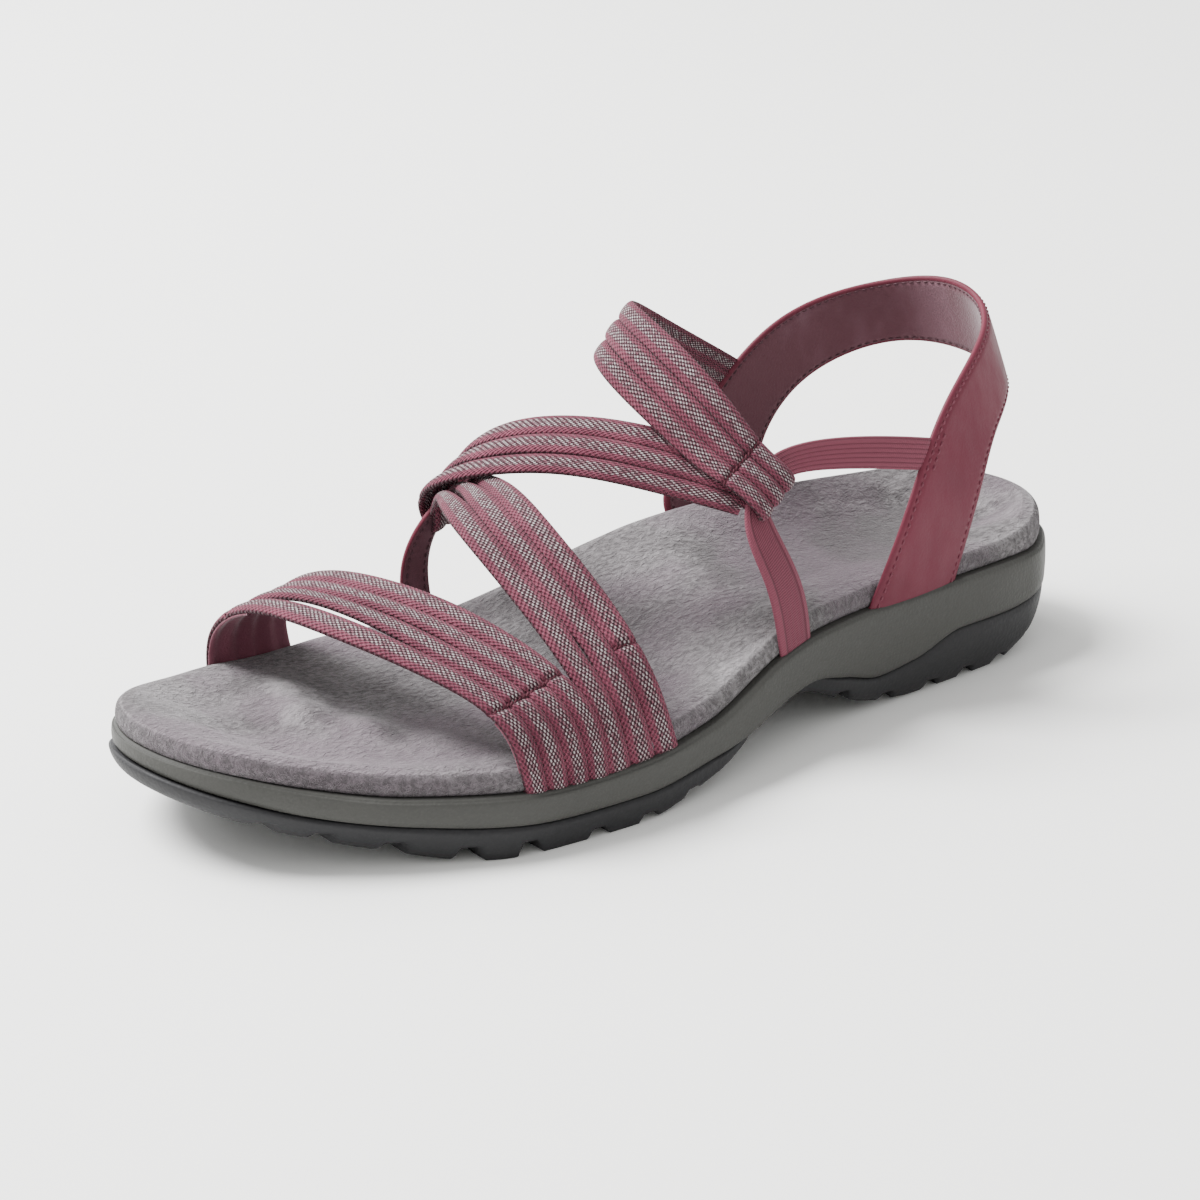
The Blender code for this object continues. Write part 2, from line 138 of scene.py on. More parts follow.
def natural_spline(rows: Table, t: Array) -> Array:
    """Natural cubic through rows spaced by the root of their chords.

    Args:
        rows: points of the curve, one row each.
        t: shares of the way along, from 0 to 1.

    Returns:
        One row for each share.
    """
    p = np.array(rows, float)
    s = np.r_[0.0, np.cumsum(np.linalg.norm(np.diff(p, axis=0), axis=1) ** 0.5)]
    h = np.diff(s)
    n = len(s)
    a = np.eye(n)
    r = np.zeros_like(p)
    inner = np.arange(1, n - 1)
    a[inner, inner - 1] = h[:-1]
    a[inner, inner] = 2.0 * (h[:-1] + h[1:])
    a[inner, inner + 1] = h[1:]
    slope = np.diff(p, axis=0) / h[:, None]
    r[1:-1] = 6.0 * np.diff(slope, axis=0)
    k = np.linalg.solve(a, r)
    at = np.asarray(t, float) * s[-1]
    i = np.clip(np.searchsorted(s, at) - 1, 0, n - 2)
    u = ((s[i + 1] - at) / h[i])[:, None]
    v = ((at - s[i]) / h[i])[:, None]
    bend = (h[i] ** 2 / 6.0)[:, None]
    return u * p[i] + v * p[i + 1] + bend * ((u ** 3 - u) * k[i] + (v ** 3 - v) * k[i + 1])


@dataclass
class Surface:
    """Points in millimetres, blocks of faces with one corner count each, and a UV for each corner."""

    points: Array
    faces: list[Array]
    uvs: list[Array]

    @classmethod
    def joined(cls, parts: Sequence[Surface]) -> Surface:
        """All parts as one surface, without welding them.

        Args:
            parts: the surfaces.

        Returns:
            Their points and faces in the same order.
        """
        starts = np.cumsum([0] + [len(part.points) for part in parts])
        faces = [block + start for part, start in zip(parts, starts) for block in part.faces]
        points = np.vstack([part.points for part in parts])
        return cls(points, faces, [uv for part in parts for uv in part.uvs])

    def outward(self) -> Surface:
        """The closed surface with its faces pointing out, judged by its signed volume.

        Returns:
            The surface itself.
        """
        volume = 0.0
        for block in self.faces:
            corner = self.points[block]
            for k in range(1, block.shape[1] - 1):
                volume += np.einsum("ij,ij->", corner[:, 0], np.cross(corner[:, k], corner[:, k + 1]))
        if volume < 0.0:
            self.faces = [block[:, ::-1] for block in self.faces]
            self.uvs = [uv[:, ::-1] for uv in self.uvs]
        return self

    def to_object(self, name: str, materials: Sequence[Material],
                  chooser: Callable[[Array], Array] | None = None) -> Piece:
        """Mesh object in metres, smooth shaded.

        Args:
            name: the piece's name.
            materials: its material slots.
            chooser: gives each face's slot from its mean UV, if there is more than one.

        Returns:
            The linked object, at the origin.
        """
        mesh = bpy.data.meshes.new(name)
        metres = (self.points - (CENTRE_X, 0.0, 0.0)) * MM
        charts = np.concatenate([uv.reshape(-1, 2) for uv in self.uvs])
        corners = np.concatenate([block.ravel() for block in self.faces])
        sizes = np.concatenate([np.full(len(block), block.shape[1]) for block in self.faces])
        mesh.vertices.add(len(self.points))
        mesh.vertices.foreach_set("co", metres.astype(np.float32).ravel())
        mesh.loops.add(len(corners))
        mesh.polygons.add(len(sizes))
        mesh.polygons.foreach_set("loop_start", np.r_[0, np.cumsum(sizes)[:-1]].astype(np.int32))
        mesh.polygons.foreach_set("vertices", corners.astype(np.int32))
        mesh.polygons.foreach_set("use_smooth", np.ones(len(sizes), bool))
        layer = mesh.uv_layers.new(name="UVMap")
        layer.uv.foreach_set("vector", charts.astype(np.float32).ravel())
        if chooser is not None:
            slots = np.concatenate([chooser(uv.mean(axis=1)) for uv in self.uvs])
            mesh.polygons.foreach_set("material_index", slots.astype(np.int32))
        for material in materials:
            mesh.materials.append(material)
        mesh.update()
        mesh.validate()
        obj = bpy.data.objects.new(name, mesh)
        bpy.context.scene.collection.objects.link(obj)
        return obj


def ring_cap(ring: Array) -> tuple[Array, Array]:
    """Quads and two end triangles that close an even ring of point numbers by rungs from j to n - j.

    Args:
        ring: point numbers round the ring.

    Returns:
        The quads and the triangles, as point numbers.
    """
    n = len(ring)
    half = n // 2
    j = np.arange(1, half - 1)
    quads = np.stack([ring[j], ring[j + 1], ring[n - j - 1], ring[n - j]], -1)
    tris = np.array([[ring[0], ring[1], ring[n - 1]], [ring[half - 1], ring[half], ring[half + 1]]])
    return quads, tris


def tube(grid: Array, along: Array, around: Array) -> Surface:
    """Skin over a grid of sections, rows along a path and columns around each section, capped at both ends.

    Args:
        grid: points, rows by columns by 3.
        along: UV x of each row.
        around: UV y of each column, one more than the columns.

    Returns:
        The closed surface.
    """
    rows, columns = grid.shape[:2]
    i, j = np.meshgrid(np.arange(rows - 1), np.arange(columns), indexing="ij")
    here = i * columns
    ahead = here + columns
    j2 = (j + 1) % columns
    faces = [np.stack([here + j, ahead + j, ahead + j2, here + j2], -1).reshape(-1, 4)]
    u = np.stack([along[i], along[i + 1], along[i + 1], along[i]], -1)
    v = np.stack([around[j], around[j], around[j + 1], around[j + 1]], -1)
    uvs = [np.stack([u, v], -1).reshape(-1, 4, 2)]
    first = np.arange(columns)
    last = first + (rows - 1) * columns
    for ring, at in ((first, along[0]), (last[::-1], along[-1])):
        for block in ring_cap(ring):
            faces.append(block[:, ::-1])
            uvs.append(np.stack([np.full(block.shape, at), around[block % columns]], -1))
    return Surface(grid.reshape(-1, 3), faces, uvs).outward()


@dataclass(frozen=True)
class SoleForm:
    """Plan, rim, parting line and ground side of the sole.

    plan columns: share of the length from the toe, lateral x, medial x.
    side columns: y, rim lateral, rim medial, parting lateral, parting medial.
    ground columns: y, z, waist draw-in.
    """

    length: float = 256.0
    plan: Table = (
        (0.00, -8.0, -8.0), (0.03, 14.5, -28.5), (0.09, 29.0, -40.5), (0.17, 41.0, -47.5),
        (0.27, 50.0, -48.8), (0.37, 51.3, -44.0), (0.47, 47.6, -38.8), (0.58, 40.0, -35.2),
        (0.70, 35.0, -33.0), (0.82, 33.3, -31.0), (0.91, 30.3, -28.0), (0.97, 19.3, -19.0),
        (1.00, 0.0, 0.0),
    )
    side: Table = (
        (-128, 24.6, 24.6, 20.3, 20.3), (-118, 22.6, 22.3, 17.2, 16.2), (-105, 19.5, 18.9, 13.5, 13.2),
        (-90, 16.7, 16.4, 10.6, 10.9), (-70, 15.0, 14.6, 8.0, 8.5), (-50, 13.9, 15.2, 6.7, 7.9),
        (-30, 14.6, 15.8, 6.8, 8.2), (-10, 16.5, 20.2, 8.4, 9.8), (4, 20.2, 24.4, 9.7, 12.2),
        (16, 23.6, 26.6, 12.4, 14.5), (28, 25.7, 27.9, 14.5, 15.2), (40, 26.2, 28.2, 11.9, 12.2),
        (52, 26.4, 28.3, 8.8, 9.2), (64, 26.5, 28.2, 10.0, 10.2), (80, 26.9, 27.6, 14.2, 14.0),
        (96, 26.8, 26.8, 14.0, 14.0), (112, 26.6, 26.4, 14.9, 14.9), (128, 26.0, 26.0, 14.6, 14.6),
    )
    ground: Table = (
        (-128, 14.8, 0.0), (-118, 11.6, 0.0), (-105, 7.4, 0.0), (-90, 3.4, 0.0), (-76, 0.5, 0.0),
        (-66, 0.0, 0.0), (-32, 0.0, 0.0), (-20, 1.6, 0.0), (-8, 4.2, 0.0), (4, 7.0, 1.5), (16, 9.8, 6.0),
        (28, 10.4, 4.0), (40, 6.2, 0.5), (48, 3.0, 0.0), (56, 1.0, 0.0), (66, 0.0, 0.0), (95, 0.0, 0.0),
        (104, 2.4, 0.0), (112, 5.6, 0.0), (120, 8.6, 0.0), (128, 11.0, 0.0),
    )

    def plan_x(self, q: Array, side: Side) -> Array:
        """X of the plan at angle q from the toe, where y is minus half the length times cos q.

        Args:
            q: angle in radians, 0 at the toe and pi at the heel.
            side: side of the shoe.

        Returns:
            One x for each angle.
        """
        shares = np.arccos(1.0 - 2.0 * np.array([row[0] for row in self.plan]))
        column = 1 if side is Side.LATERAL else 2
        return monotone(shares, [row[column] for row in self.plan], q)

    def outline(self, count: int) -> tuple[Array, Array]:
        """Closed plan, lateral side first.

        Args:
            count: points round the plan.

        Returns:
            Points and inward normals, count by 2 each.
        """
        q = np.linspace(0.0, 2.0 * np.pi, count, endpoint=False)
        lateral = q <= np.pi
        x = np.where(lateral, self.plan_x(np.where(lateral, q, 0.0), Side.LATERAL),
                     self.plan_x(np.where(lateral, 0.0, 2.0 * np.pi - q), Side.MEDIAL))
        p = np.stack([x, -self.length / 2.0 * np.cos(q)], -1)
        span = max(1, count // 96)
        along = np.roll(p, -span, 0) - np.roll(p, span, 0)
        return p, unit(np.stack([-along[:, 1], along[:, 0]], -1))

    def level(self, x: Array, y: Array, column: int) -> Array:
        """Height of a pair of side columns, ruled straight from the lateral to the medial edge.

        Args:
            x: places across.
            y: places along.
            column: number of the lateral column, the medial one being next to it.

        Returns:
            One height for each place.
        """
        q = np.arccos(np.clip(-2.0 * np.asarray(y, float) / self.length, -1.0, 1.0))
        lateral = self.plan_x(q, Side.LATERAL)
        width = np.maximum(lateral - self.plan_x(q, Side.MEDIAL), 1.0)
        share = np.clip((lateral - x) / width, 0.0, 1.0)
        table = np.array(self.side, float).T
        high = monotone(table[0], table[column], y)
        return high + (monotone(table[0], table[column + 1], y) - high) * share

    def shelf(self, x: Array, y: Array) -> Array:
        """Top of the midsole, which the bed and the straps stand on."""
        return self.level(x, y, 1)

    def parting(self, x: Array, y: Array) -> Array:
        """Line between the midsole and the outsole."""
        return self.level(x, y, 3)

    def tread(self, x: Array, y: Array) -> Array:
        """Ground side of the outsole."""
        table = np.array(self.ground, float).T
        return monotone(table[0], table[1], y)

    def wall(self, rows: Table, low: Callable, high: Callable, count: int, steps: int,
             ease: float | Array = 0.0, gain: float | Array = 1.0) -> Array:
        """Side wall as stacked rings, each inset from the plan at its share of the height.

        Args:
            rows: columns inset, share of the waist draw-in, share of the height, added height.
            low: height function of the wall's foot.
            high: height function of the wall's top.
            count: points round each ring.
            steps: rings from one row of the table to the next.
            ease: inset added at each point round the plan, or at each point of each ring.
            gain: factor on the added height at each point round the plan.

        Returns:
            Rings by count by 3.
        """
        table = np.array(rows, float)
        at = np.arange(len(table))
        fine = np.linspace(0.0, len(table) - 1.0, (len(table) - 1) * steps + 1)
        inset, drawn, share, added = (monotone(at, table[:, k], fine)[:, None] for k in range(4))
        p, normal = self.outline(count)
        waist = monotone([row[0] for row in self.ground], [row[2] for row in self.ground], p[:, 1])
        xy = p[None] + normal[None] * (inset + drawn * waist[None] + ease)[..., None]
        x, y = xy[..., 0], xy[..., 1]
        foot = low(x, y)
        z = foot + (high(x, y) - foot) * share + added * gain
        return np.concatenate([xy, z[..., None]], -1)

    def base(self, side: Side, front: float, rear: float, lift: float,
             inset: float = 2.3) -> tuple[float, ...]:
        """Strap section standing on the shelf.

        Args:
            side: side of the shoe.
            front: y of the front edge.
            rear: y of the rear edge.
            lift: height of the strap's end above the shelf.
            inset: distance in from the plan.

        Returns:
            Front edge x, y, z and rear edge x, y, z.
        """
        y = np.array([front, rear])
        x = self.plan_x(np.arccos(-2.0 * y / self.length), side) - side.value * inset
        z = self.shelf(x, y) + lift
        return tuple(np.stack([x, y, z], -1).ravel().tolist())


def cross_lines(ring: Array, columns: int) -> Array:
    """Straight lines from the lateral points of a ring to the medial points opposite, ends left out.

    Args:
        ring: points round a ring, lateral side first.
        columns: points on each line.

    Returns:
        Lines by columns by 3.
    """
    half = len(ring) // 2
    lateral = ring[1:half, None]
    medial = ring[:half:-1, None]
    share = np.linspace(0.0, 1.0, columns + 2)[None, 1:-1, None]
    return lateral + (medial - lateral) * share


def shell(rings: Array, bottom: Array, top: Array) -> Surface:
    """Closed body of stacked rings with a net of points across its foot and its top.

    Args:
        rings: rings by count by 3, from the foot up.
        bottom: points across the foot, as cross_lines gives them.
        top: points across the top.

    Returns:
        The surface, without a useful UV.
    """
    steps, count = rings.shape[:2]
    half = count // 2
    i, j = np.meshgrid(np.arange(steps - 1), np.arange(count), indexing="ij")
    j2 = (j + 1) % count
    low = i * count
    high = low + count
    quads = [np.stack([low + j, low + j2, high + j2, high + j], -1).reshape(-1, 4)]
    tris = []
    offset = steps * count
    for start, net, flip in ((0, bottom, True), ((steps - 1) * count, top, False)):
        number = offset + np.arange(net.shape[0] * net.shape[1]).reshape(net.shape[:2])
        offset += number.size
        lateral = start + np.arange(1, half)[:, None]
        medial = start + np.arange(count - 1, half, -1)[:, None]
        row = np.concatenate([lateral, number, medial], 1)
        block = np.stack([row[:-1, :-1], row[1:, :-1], row[1:, 1:], row[:-1, 1:]], -1).reshape(-1, 4)
        tip = np.full(row.shape[1] - 1, start)
        ends = np.vstack([np.stack([tip, row[0, :-1], row[0, 1:]], -1),
                          np.stack([tip + half, row[-1, 1:], row[-1, :-1]], -1)])
        quads.append(block[:, ::-1] if flip else block)
        tris.append(ends[:, ::-1] if flip else ends)
    points = np.vstack([rings.reshape(-1, 3), bottom.reshape(-1, 3), top.reshape(-1, 3)])
    faces = [np.vstack(quads), np.vstack(tris)]
    uvs = [points[block][..., :2] for block in faces]
    return Surface(points, faces, uvs).outward()


@dataclass(frozen=True)
class Section:
    """Flat section of a strap: rounded edges, a crowned face and lengthwise ribs.

    The face height is half * (1 - |x|^square)^edge + crown * (1 - x^2), with x from -1 to 1 across. Ribs
    add a cosine that fades at the edges, and press takes a narrow bell away at press_at from the middle.
    """

    half: float
    crown: float = 0.0
    square: float = 6.0
    edge: float = 0.42
    ribs: int = 0
    rib_rise: float = 0.0
    press_at: float = 0.0
    press: float = 0.0
    press_width: float = 0.05
    rib_fade: int = 8
    count: int = 28

    def height(self, x: Array) -> Array:
        """Height of the rounded face over the middle plane, before the crown.

        Args:
            x: share across from -1 to 1.

        Returns:
            One height for each share.
        """
        h = self.half * np.maximum(1.0 - np.abs(x) ** self.square, 0.0) ** self.edge
        if self.ribs:
            wave = self.rib_rise * np.cos(np.pi * self.ribs * (x + 1.0))
            h = h + wave * (1.0 - np.abs(x) ** self.rib_fade)
        if self.press:
            h = h - self.press * np.exp(-((np.abs(x) - self.press_at) / self.press_width) ** 2)
        return h

    def profile(self) -> tuple[Array, Array, Array]:
        """Points round the section, face first and then the back.

        Returns:
            Share across from -1 to 1, height, and UV y from 0 to 1 on the face and 1 to 2 on the back.
        """
        half = self.count // 2
        x = np.cos(np.pi * np.arange(half) / half)
        across = np.r_[x, -x]
        sign = np.r_[np.ones(half), -np.ones(half)]
        height = sign * self.height(across) + self.crown * (1.0 - across ** 2)
        around = np.r_[(1.0 - x) / 2.0, 1.0 + (1.0 - x) / 2.0, 2.0]
        return across, height, around


@dataclass(frozen=True)
class Path:
    """Front and rear edge lines of a strip, with the way out from the foot."""

    front: Array
    rear: Array
    out: Array

    @property
    def middle(self) -> Array:
        """Line half way between the edges."""
        return (self.front + self.rear) / 2.0

    @property
    def width(self) -> Array:
        """Distance between the edges."""
        return np.linalg.norm(self.rear - self.front, axis=1)

    @property
    def run(self) -> Array:
        """Length along the middle line."""
        return run_length(self.middle)

    @classmethod
    def between(cls, front: Array, rear: Array, core: Array) -> Path:
        """Path whose out direction is the edge's normal, turned away from a core point or line.

        Args:
            front: points of the front edge.
            rear: points of the rear edge.
            core: a point, or one point for each station.

        Returns:
            The path.
        """
        middle = (front + rear) / 2.0
        out = unit(np.cross(np.gradient(middle, axis=0), rear - front))
        return cls(front, rear, -out if np.sum(out * (middle - core)) < 0.0 else out)

    def slice(self, low: Array, high: Array) -> Path:
        """The part between two shares of the width, which may change along the path.

        Args:
            low: share across of the front edge.
            high: share across of the rear edge.

        Returns:
            The narrower path, with the same way out.
        """
        low, high = (np.broadcast_to(share, len(self.front))[:, None] for share in (low, high))
        across = self.rear - self.front
        return Path(self.front + across * low, self.front + across * high, self.out)

    def line(self, x: float, height: float) -> Array:
        """Line along the path at x from -1 to 1 across and a height out of it."""
        return self.middle + (self.rear - self.front) * (x / 2.0) + self.out * height

    def skin(self, section: Section, squeeze: Array | None = None, lift: Array | None = None,
             tilt: float = 0.0) -> Surface:
        """Section carried along the path: middle + half width * across + height * out.

        Args:
            section: the section.
            squeeze: share of the height taken away at each station.
            lift: height added at each station.
            tilt: height added at the edge x = 1 and taken away at x = -1.

        Returns:
            The closed surface.
        """
        across, height, around = section.profile()
        rise = np.broadcast_to(height, (len(self.front), len(height)))
        if squeeze is not None:
            rise = rise * (1.0 - squeeze[:, None])
        if lift is not None:
            rise = rise + lift[:, None]
        rise = rise + tilt * across
        half = (self.rear - self.front)[:, None] / 2.0
        grid = self.middle[:, None] + half * across[None, :, None] + self.out[:, None] * rise[..., None]
        return tube(grid, self.run, around)


@dataclass(frozen=True)
class Thread:
    """Sewing thread laid as a row of short rounded stitches.

    tip is the least square of the girth at a stitch's ends, bulge and sag the way its middle stands out and
    its ends sink in as shares of the radius, and ahead how far on its direction is read.
    """

    pitch: float = 2.2
    length: float = 1.55
    radius: float = 0.24
    tip: float = 0.06
    bulge: float = 0.55
    sag: float = 0.9
    ahead: float = 0.4
    around: int = 8
    rows: int = 5

    def row(self, line: Array, out: Array, slant: float = 0.0) -> Surface:
        """Stitches along a line: spindles whose radius is a half-circle root of the way along.

        Args:
            line: points of the seam.
            out: direction off the surface at each point.
            slant: sideways lean of each stitch as a share of its length.

        Returns:
            All stitches as one surface.
        """
        run = run_length(line)
        at = np.arange(self.pitch / 2.0, run[-1] - self.pitch / 2.0, self.pitch)
        centre = read_along(at, run, line)
        up = unit(read_along(at, run, out))
        way = unit(read_along(at + self.ahead, run, line) - centre)
        side = unit(np.cross(up, way))
        way = unit(way + side * slant)
        side = unit(np.cross(up, way))
        turn = np.linspace(0.0, 2.0 * np.pi, self.around, endpoint=False)
        share = np.linspace(-1.0, 1.0, self.rows)
        girth = self.radius * np.sqrt(np.maximum(1.0 - share ** 4, self.tip))
        rise = self.radius * (self.bulge - self.sag * share ** 2)
        local = np.stack([
            np.broadcast_to(share[:, None] * self.length / 2.0, (self.rows, self.around)),
            girth[:, None] * np.cos(turn)[None],
            girth[:, None] * np.sin(turn)[None] + rise[:, None],
        ], -1)
        basis = np.stack([way, side, up], 1)
        grids = centre[:, None, None] + np.einsum("rak,nkc->nrac", local, basis)
        one = tube(grids[0], np.zeros(self.rows), np.zeros(self.around + 1))
        shift = (np.arange(len(grids)) * self.rows * self.around)[:, None, None]
        faces = [(block[None] + shift).reshape(-1, block.shape[1]) for block in one.faces]
        return Surface(grids.reshape(-1, 3), faces, [np.zeros(block.shape + (2,)) for block in faces])


class Graph:
    """Shorthand for the node tree of one material."""

    def __init__(self, name: str) -> None:
        """Start an empty Principled material.

        Args:
            name: the material's name.
        """
        self.material = bpy.data.materials.new(name)
        self.material.use_nodes = True
        self.tree = self.material.node_tree
        self.shader = self.tree.nodes["Principled BSDF"]

    def put(self, socket: Socket, value: object) -> None:
        """Link a socket to another, or set its own value.

        Args:
            socket: input to fill.
            value: another socket, a number, a colour or a vector.
        """
        if isinstance(value, Socket):
            self.tree.links.new(value, socket)
        elif isinstance(value, tuple) and len(value) == 3 and socket.type == "RGBA":
            socket.default_value = (*value, 1.0)
        else:
            socket.default_value = value

    def node(self, kind: str, inputs: dict | None = None, **settings: object) -> bpy.types.Node:
        """New node with its settings and inputs.

        Args:
            kind: the node's type.
            inputs: values or sockets by input name or number.
            settings: the node's own properties.

        Returns:
            The node.
        """
        made = self.tree.nodes.new(kind)
        for key, value in settings.items():
            setattr(made, key, value)
        for key, value in (inputs or {}).items():
            self.put(made.inputs[key], value)
        return made

    def place(self, scale: Place = (1.0, 1.0, 1.0)) -> Socket:
        """Object coordinates in metres, stretched by a scale."""
        source = self.node("ShaderNodeTexCoord").outputs["Object"]
        return self.node("ShaderNodeMapping", {"Vector": source, "Scale": scale}).outputs["Vector"]

    def chart(self) -> tuple[Socket, Socket]:
        """The piece's own UV as two numbers.

        Returns:
            UV x, and UV y.
        """
        source = self.node("ShaderNodeUVMap", uv_map="UVMap").outputs["UV"]
        parts = self.node("ShaderNodeSeparateXYZ", {"Vector": source})
        return parts.outputs["X"], parts.outputs["Y"]

    def math(self, operation: str, a: object, b: object = 0.0) -> Socket:
        """Math node of two values."""
        return self.node("ShaderNodeMath", {0: a, 1: b}, operation=operation).outputs[0]

    def times(self, a: object, b: object) -> Socket:
        """Product of two values."""
        return self.math("MULTIPLY", a, b)

    def plus(self, a: object, b: object) -> Socket:
        """Sum of two values."""
        return self.math("ADD", a, b)

    def minus(self, a: object, b: object) -> Socket:
        """First value less the second."""
        return self.math("SUBTRACT", a, b)

    def off_middle(self, y: Socket) -> Socket:
        """Distance of a UV's fraction from one half."""
        return self.math("ABSOLUTE", self.minus(self.math("FRACT", y), 0.5))

    def cells(self, vector: object, scale: float) -> Socket:
        """Distance to the nearest cell point at a scale in features a metre."""
        return self.node("ShaderNodeTexVoronoi", {"Vector": vector, "Scale": scale}).outputs["Distance"]

    def ramp(self, value: object, low: float, high: float, first: float = 0.0,
             last: float = 1.0) -> Socket:
        """Soft step of a value from low to high."""
        inputs = {"Value": value, "From Min": low, "From Max": high, "To Min": first, "To Max": last}
        return self.node("ShaderNodeMapRange", inputs, interpolation_type="SMOOTHSTEP").outputs["Result"]

    def mix(self, share: object, a: object, b: object) -> Socket:
        """Colour a going over to colour b."""
        return self.node("ShaderNodeMix", {0: share, 6: a, 7: b}, data_type="RGBA").outputs[2]

    def noise(self, vector: object, scale: float, detail: float = 2.0, rough: float = 0.5,
              warp: float = 0.0) -> Socket:
        """Noise value at a scale in features a metre.

        Args:
            vector: place socket.
            scale: features a metre.
            detail: octaves.
            rough: share kept from one octave to the next.
            warp: distortion.

        Returns:
            A value about one half.
        """
        inputs = {"Vector": vector, "Scale": scale, "Detail": detail, "Roughness": rough,
                  "Distortion": warp}
        return self.node("ShaderNodeTexNoise", inputs).outputs["Fac"]

    def finish(self, colour: object, roughness: object, height: object = None, depth: float = 0.0002,
               strength: float = 1.0, **constants: object) -> Material:
        """Wire up the shader.

        Args:
            colour: base colour or socket.
            roughness: roughness or socket.
            height: bump height socket from 0 to 1.
            depth: bump depth in metres.
            strength: bump strength.
            constants: further shader inputs, words joined by underscores.

        Returns:
            The material.
        """
        self.put(self.shader.inputs["Base Color"], colour)
        self.put(self.shader.inputs["Roughness"], roughness)
        for key, value in constants.items():
            self.put(self.shader.inputs[key.replace("_", " ")], value)
        if height is not None:
            bump = self.node("ShaderNodeBump", {"Height": height, "Strength": strength, "Distance": depth})
            self.put(self.shader.inputs["Normal"], bump.outputs["Normal"])
        return self.material


@dataclass(frozen=True)
class SuedeFinish:
    """Suede: a short nap and a lilac cast in places, with light and shade painted on as soft ovals.

    Oval columns: x, y, turn from the shoe's length in radians, half length, half width, lightness added.
    The lighter ovals are painted highlights on lit slopes of the bed and rim, the darker ones painted
    shadows of the toe strap and painted shade on slopes turned from the light, and the large dark oval over
    the heel darkens the heel region. broad to drift are noise scales in features a metre, depth is the
    bump's in metres, bed_z the height of the ovals' middles in millimetres.
    """

    dark: Colour = (0.055, 0.04813, 0.05063)
    light: Colour = (0.208, 0.193, 0.199)
    lilac: Colour = (0.112, 0.080, 0.101)
    broad: float = 24.0
    small: float = 95.0
    fibre: float = 820.0
    tuft: float = 640.0
    wrinkle: float = 270.0
    fray: float = 150.0
    drift: float = 30.0
    depth: float = 0.0013
    bed_z: float = 20.0
    light_shade_ovals: Table = (
        (-8.0, -87.0, 1.1, 6.0, 3.4, 0.75), (-21.0, -81.5, 1.2, 8.0, 3.6, 0.75),
        (4.5, -78.0, 0.95, 7.0, 3.0, 0.7), (25.0, -67.0, -0.4, 8.0, 5.0, 0.75),
        (37.0, -62.0, 0.0, 7.0, 4.0, 0.5), (13.0, -74.5, 1.2, 6.5, 3.4, -0.6),
        (-3.0, -82.0, 0.9, 4.0, 2.6, -0.5), (-11.0, -74.0, 0.8, 4.5, 2.8, -0.45),
        (-13.0, -93.0, 1.1, 11.0, 5.0, -0.4), (-31.0, -86.0, 1.0, 9.0, 5.0, -0.3),
        (20.0, -86.0, 1.0, 9.0, 4.0, -0.25), (2.0, -104.0, 1.2, 9.0, 5.0, 0.25),
        (-8.0, 12.0, 0.2, 18.0, 12.0, 0.2), (2.0, 68.0, 0.0, 44.0, 27.0, -1.2),
        (-29.0, 96.0, 0.1, 18.0, 7.0, 0.35), (28.0, 99.0, -0.3, 14.0, 6.0, 0.35),
        (38.0, 2.0, 0.1, 13.0, 4.0, 0.4),
    )

    def painted_ovals(self, g: Graph, ragged: Socket) -> Socket:
        """Sum of the painted light and shade ovals: each fading out from its middle, with a ragged edge.

        Args:
            g: the graph to add to.
            ragged: way added to the distance from the middle.

        Returns:
            The painted lightness to add, below zero where shade is painted.
        """
        total = 0.0
        source = g.node("ShaderNodeTexCoord").outputs["Object"]
        for x, y, turn, long, short, gain in self.light_shade_ovals:
            oval = {"Vector": source, "Location": (x * MM, y * MM, self.bed_z * MM),
                    "Rotation": (0.0, 0.0, turn), "Scale": (short * MM, long * MM, 1.0)}
            local = g.node("ShaderNodeMapping", oval, vector_type="TEXTURE").outputs["Vector"]
            off = g.node("ShaderNodeVectorMath", {0: local}, operation="LENGTH").outputs["Value"]
            total = g.plus(g.ramp(g.plus(off, ragged), 1.3, 0.2, 0.0, gain), total)
        return total

    def material(self) -> Material:
        """Patches from two noises, nap from fine stretched noise, tufts on the rim, painted light and shade
        from the ovals, a painted highlight along the rim's crest and painted shade between the rim's tufts.

        Returns:
            The material.
        """
        g = Graph("suede")
        place = g.place()
        stroke = g.place((1.0, 0.55, 1.0))
        broad = g.noise(stroke, self.broad, 3.0, 0.55)
        small = g.noise(stroke, self.small, 3.0, 0.6)
        fibre = g.noise(g.place((1.0, 0.6, 1.0)), self.fibre, 3.0, 0.68, 0.5)
        tuft = g.noise(place, self.tuft, 4.0, 0.8, 0.3)
        normal = g.node("ShaderNodeNewGeometry").outputs["Normal"]
        upright = g.node("ShaderNodeSeparateXYZ", {"Vector": normal}).outputs["Z"]
        rim = g.ramp(upright, 0.92, 0.70)
        # painted highlight: a lighter band where the bed rolls over into the rim, found by the normal's
        # slope
        painted_crest_highlight = g.times(g.ramp(upright, 0.76, 0.88), g.ramp(upright, 0.97, 0.92))
        pile = g.mix(rim, fibre, tuft)
        patch = g.plus(g.times(broad, 0.55), g.times(small, 0.45))
        wrinkle = g.noise(g.place((1.0, 0.7, 1.0)), self.wrinkle, 3.0, 0.55, 0.6)
        height = g.plus(g.times(pile, g.ramp(rim, 0.0, 1.0, 1.0, 1.7)), g.times(wrinkle, 0.55))
        nap = g.plus(g.times(g.ramp(patch, 0.36, 0.64), 0.28), g.times(g.ramp(pile, 0.36, 0.64), 0.48))
        ragged = g.times(g.minus(g.noise(stroke, self.fray, 3.0, 0.7), 0.5), 1.7)
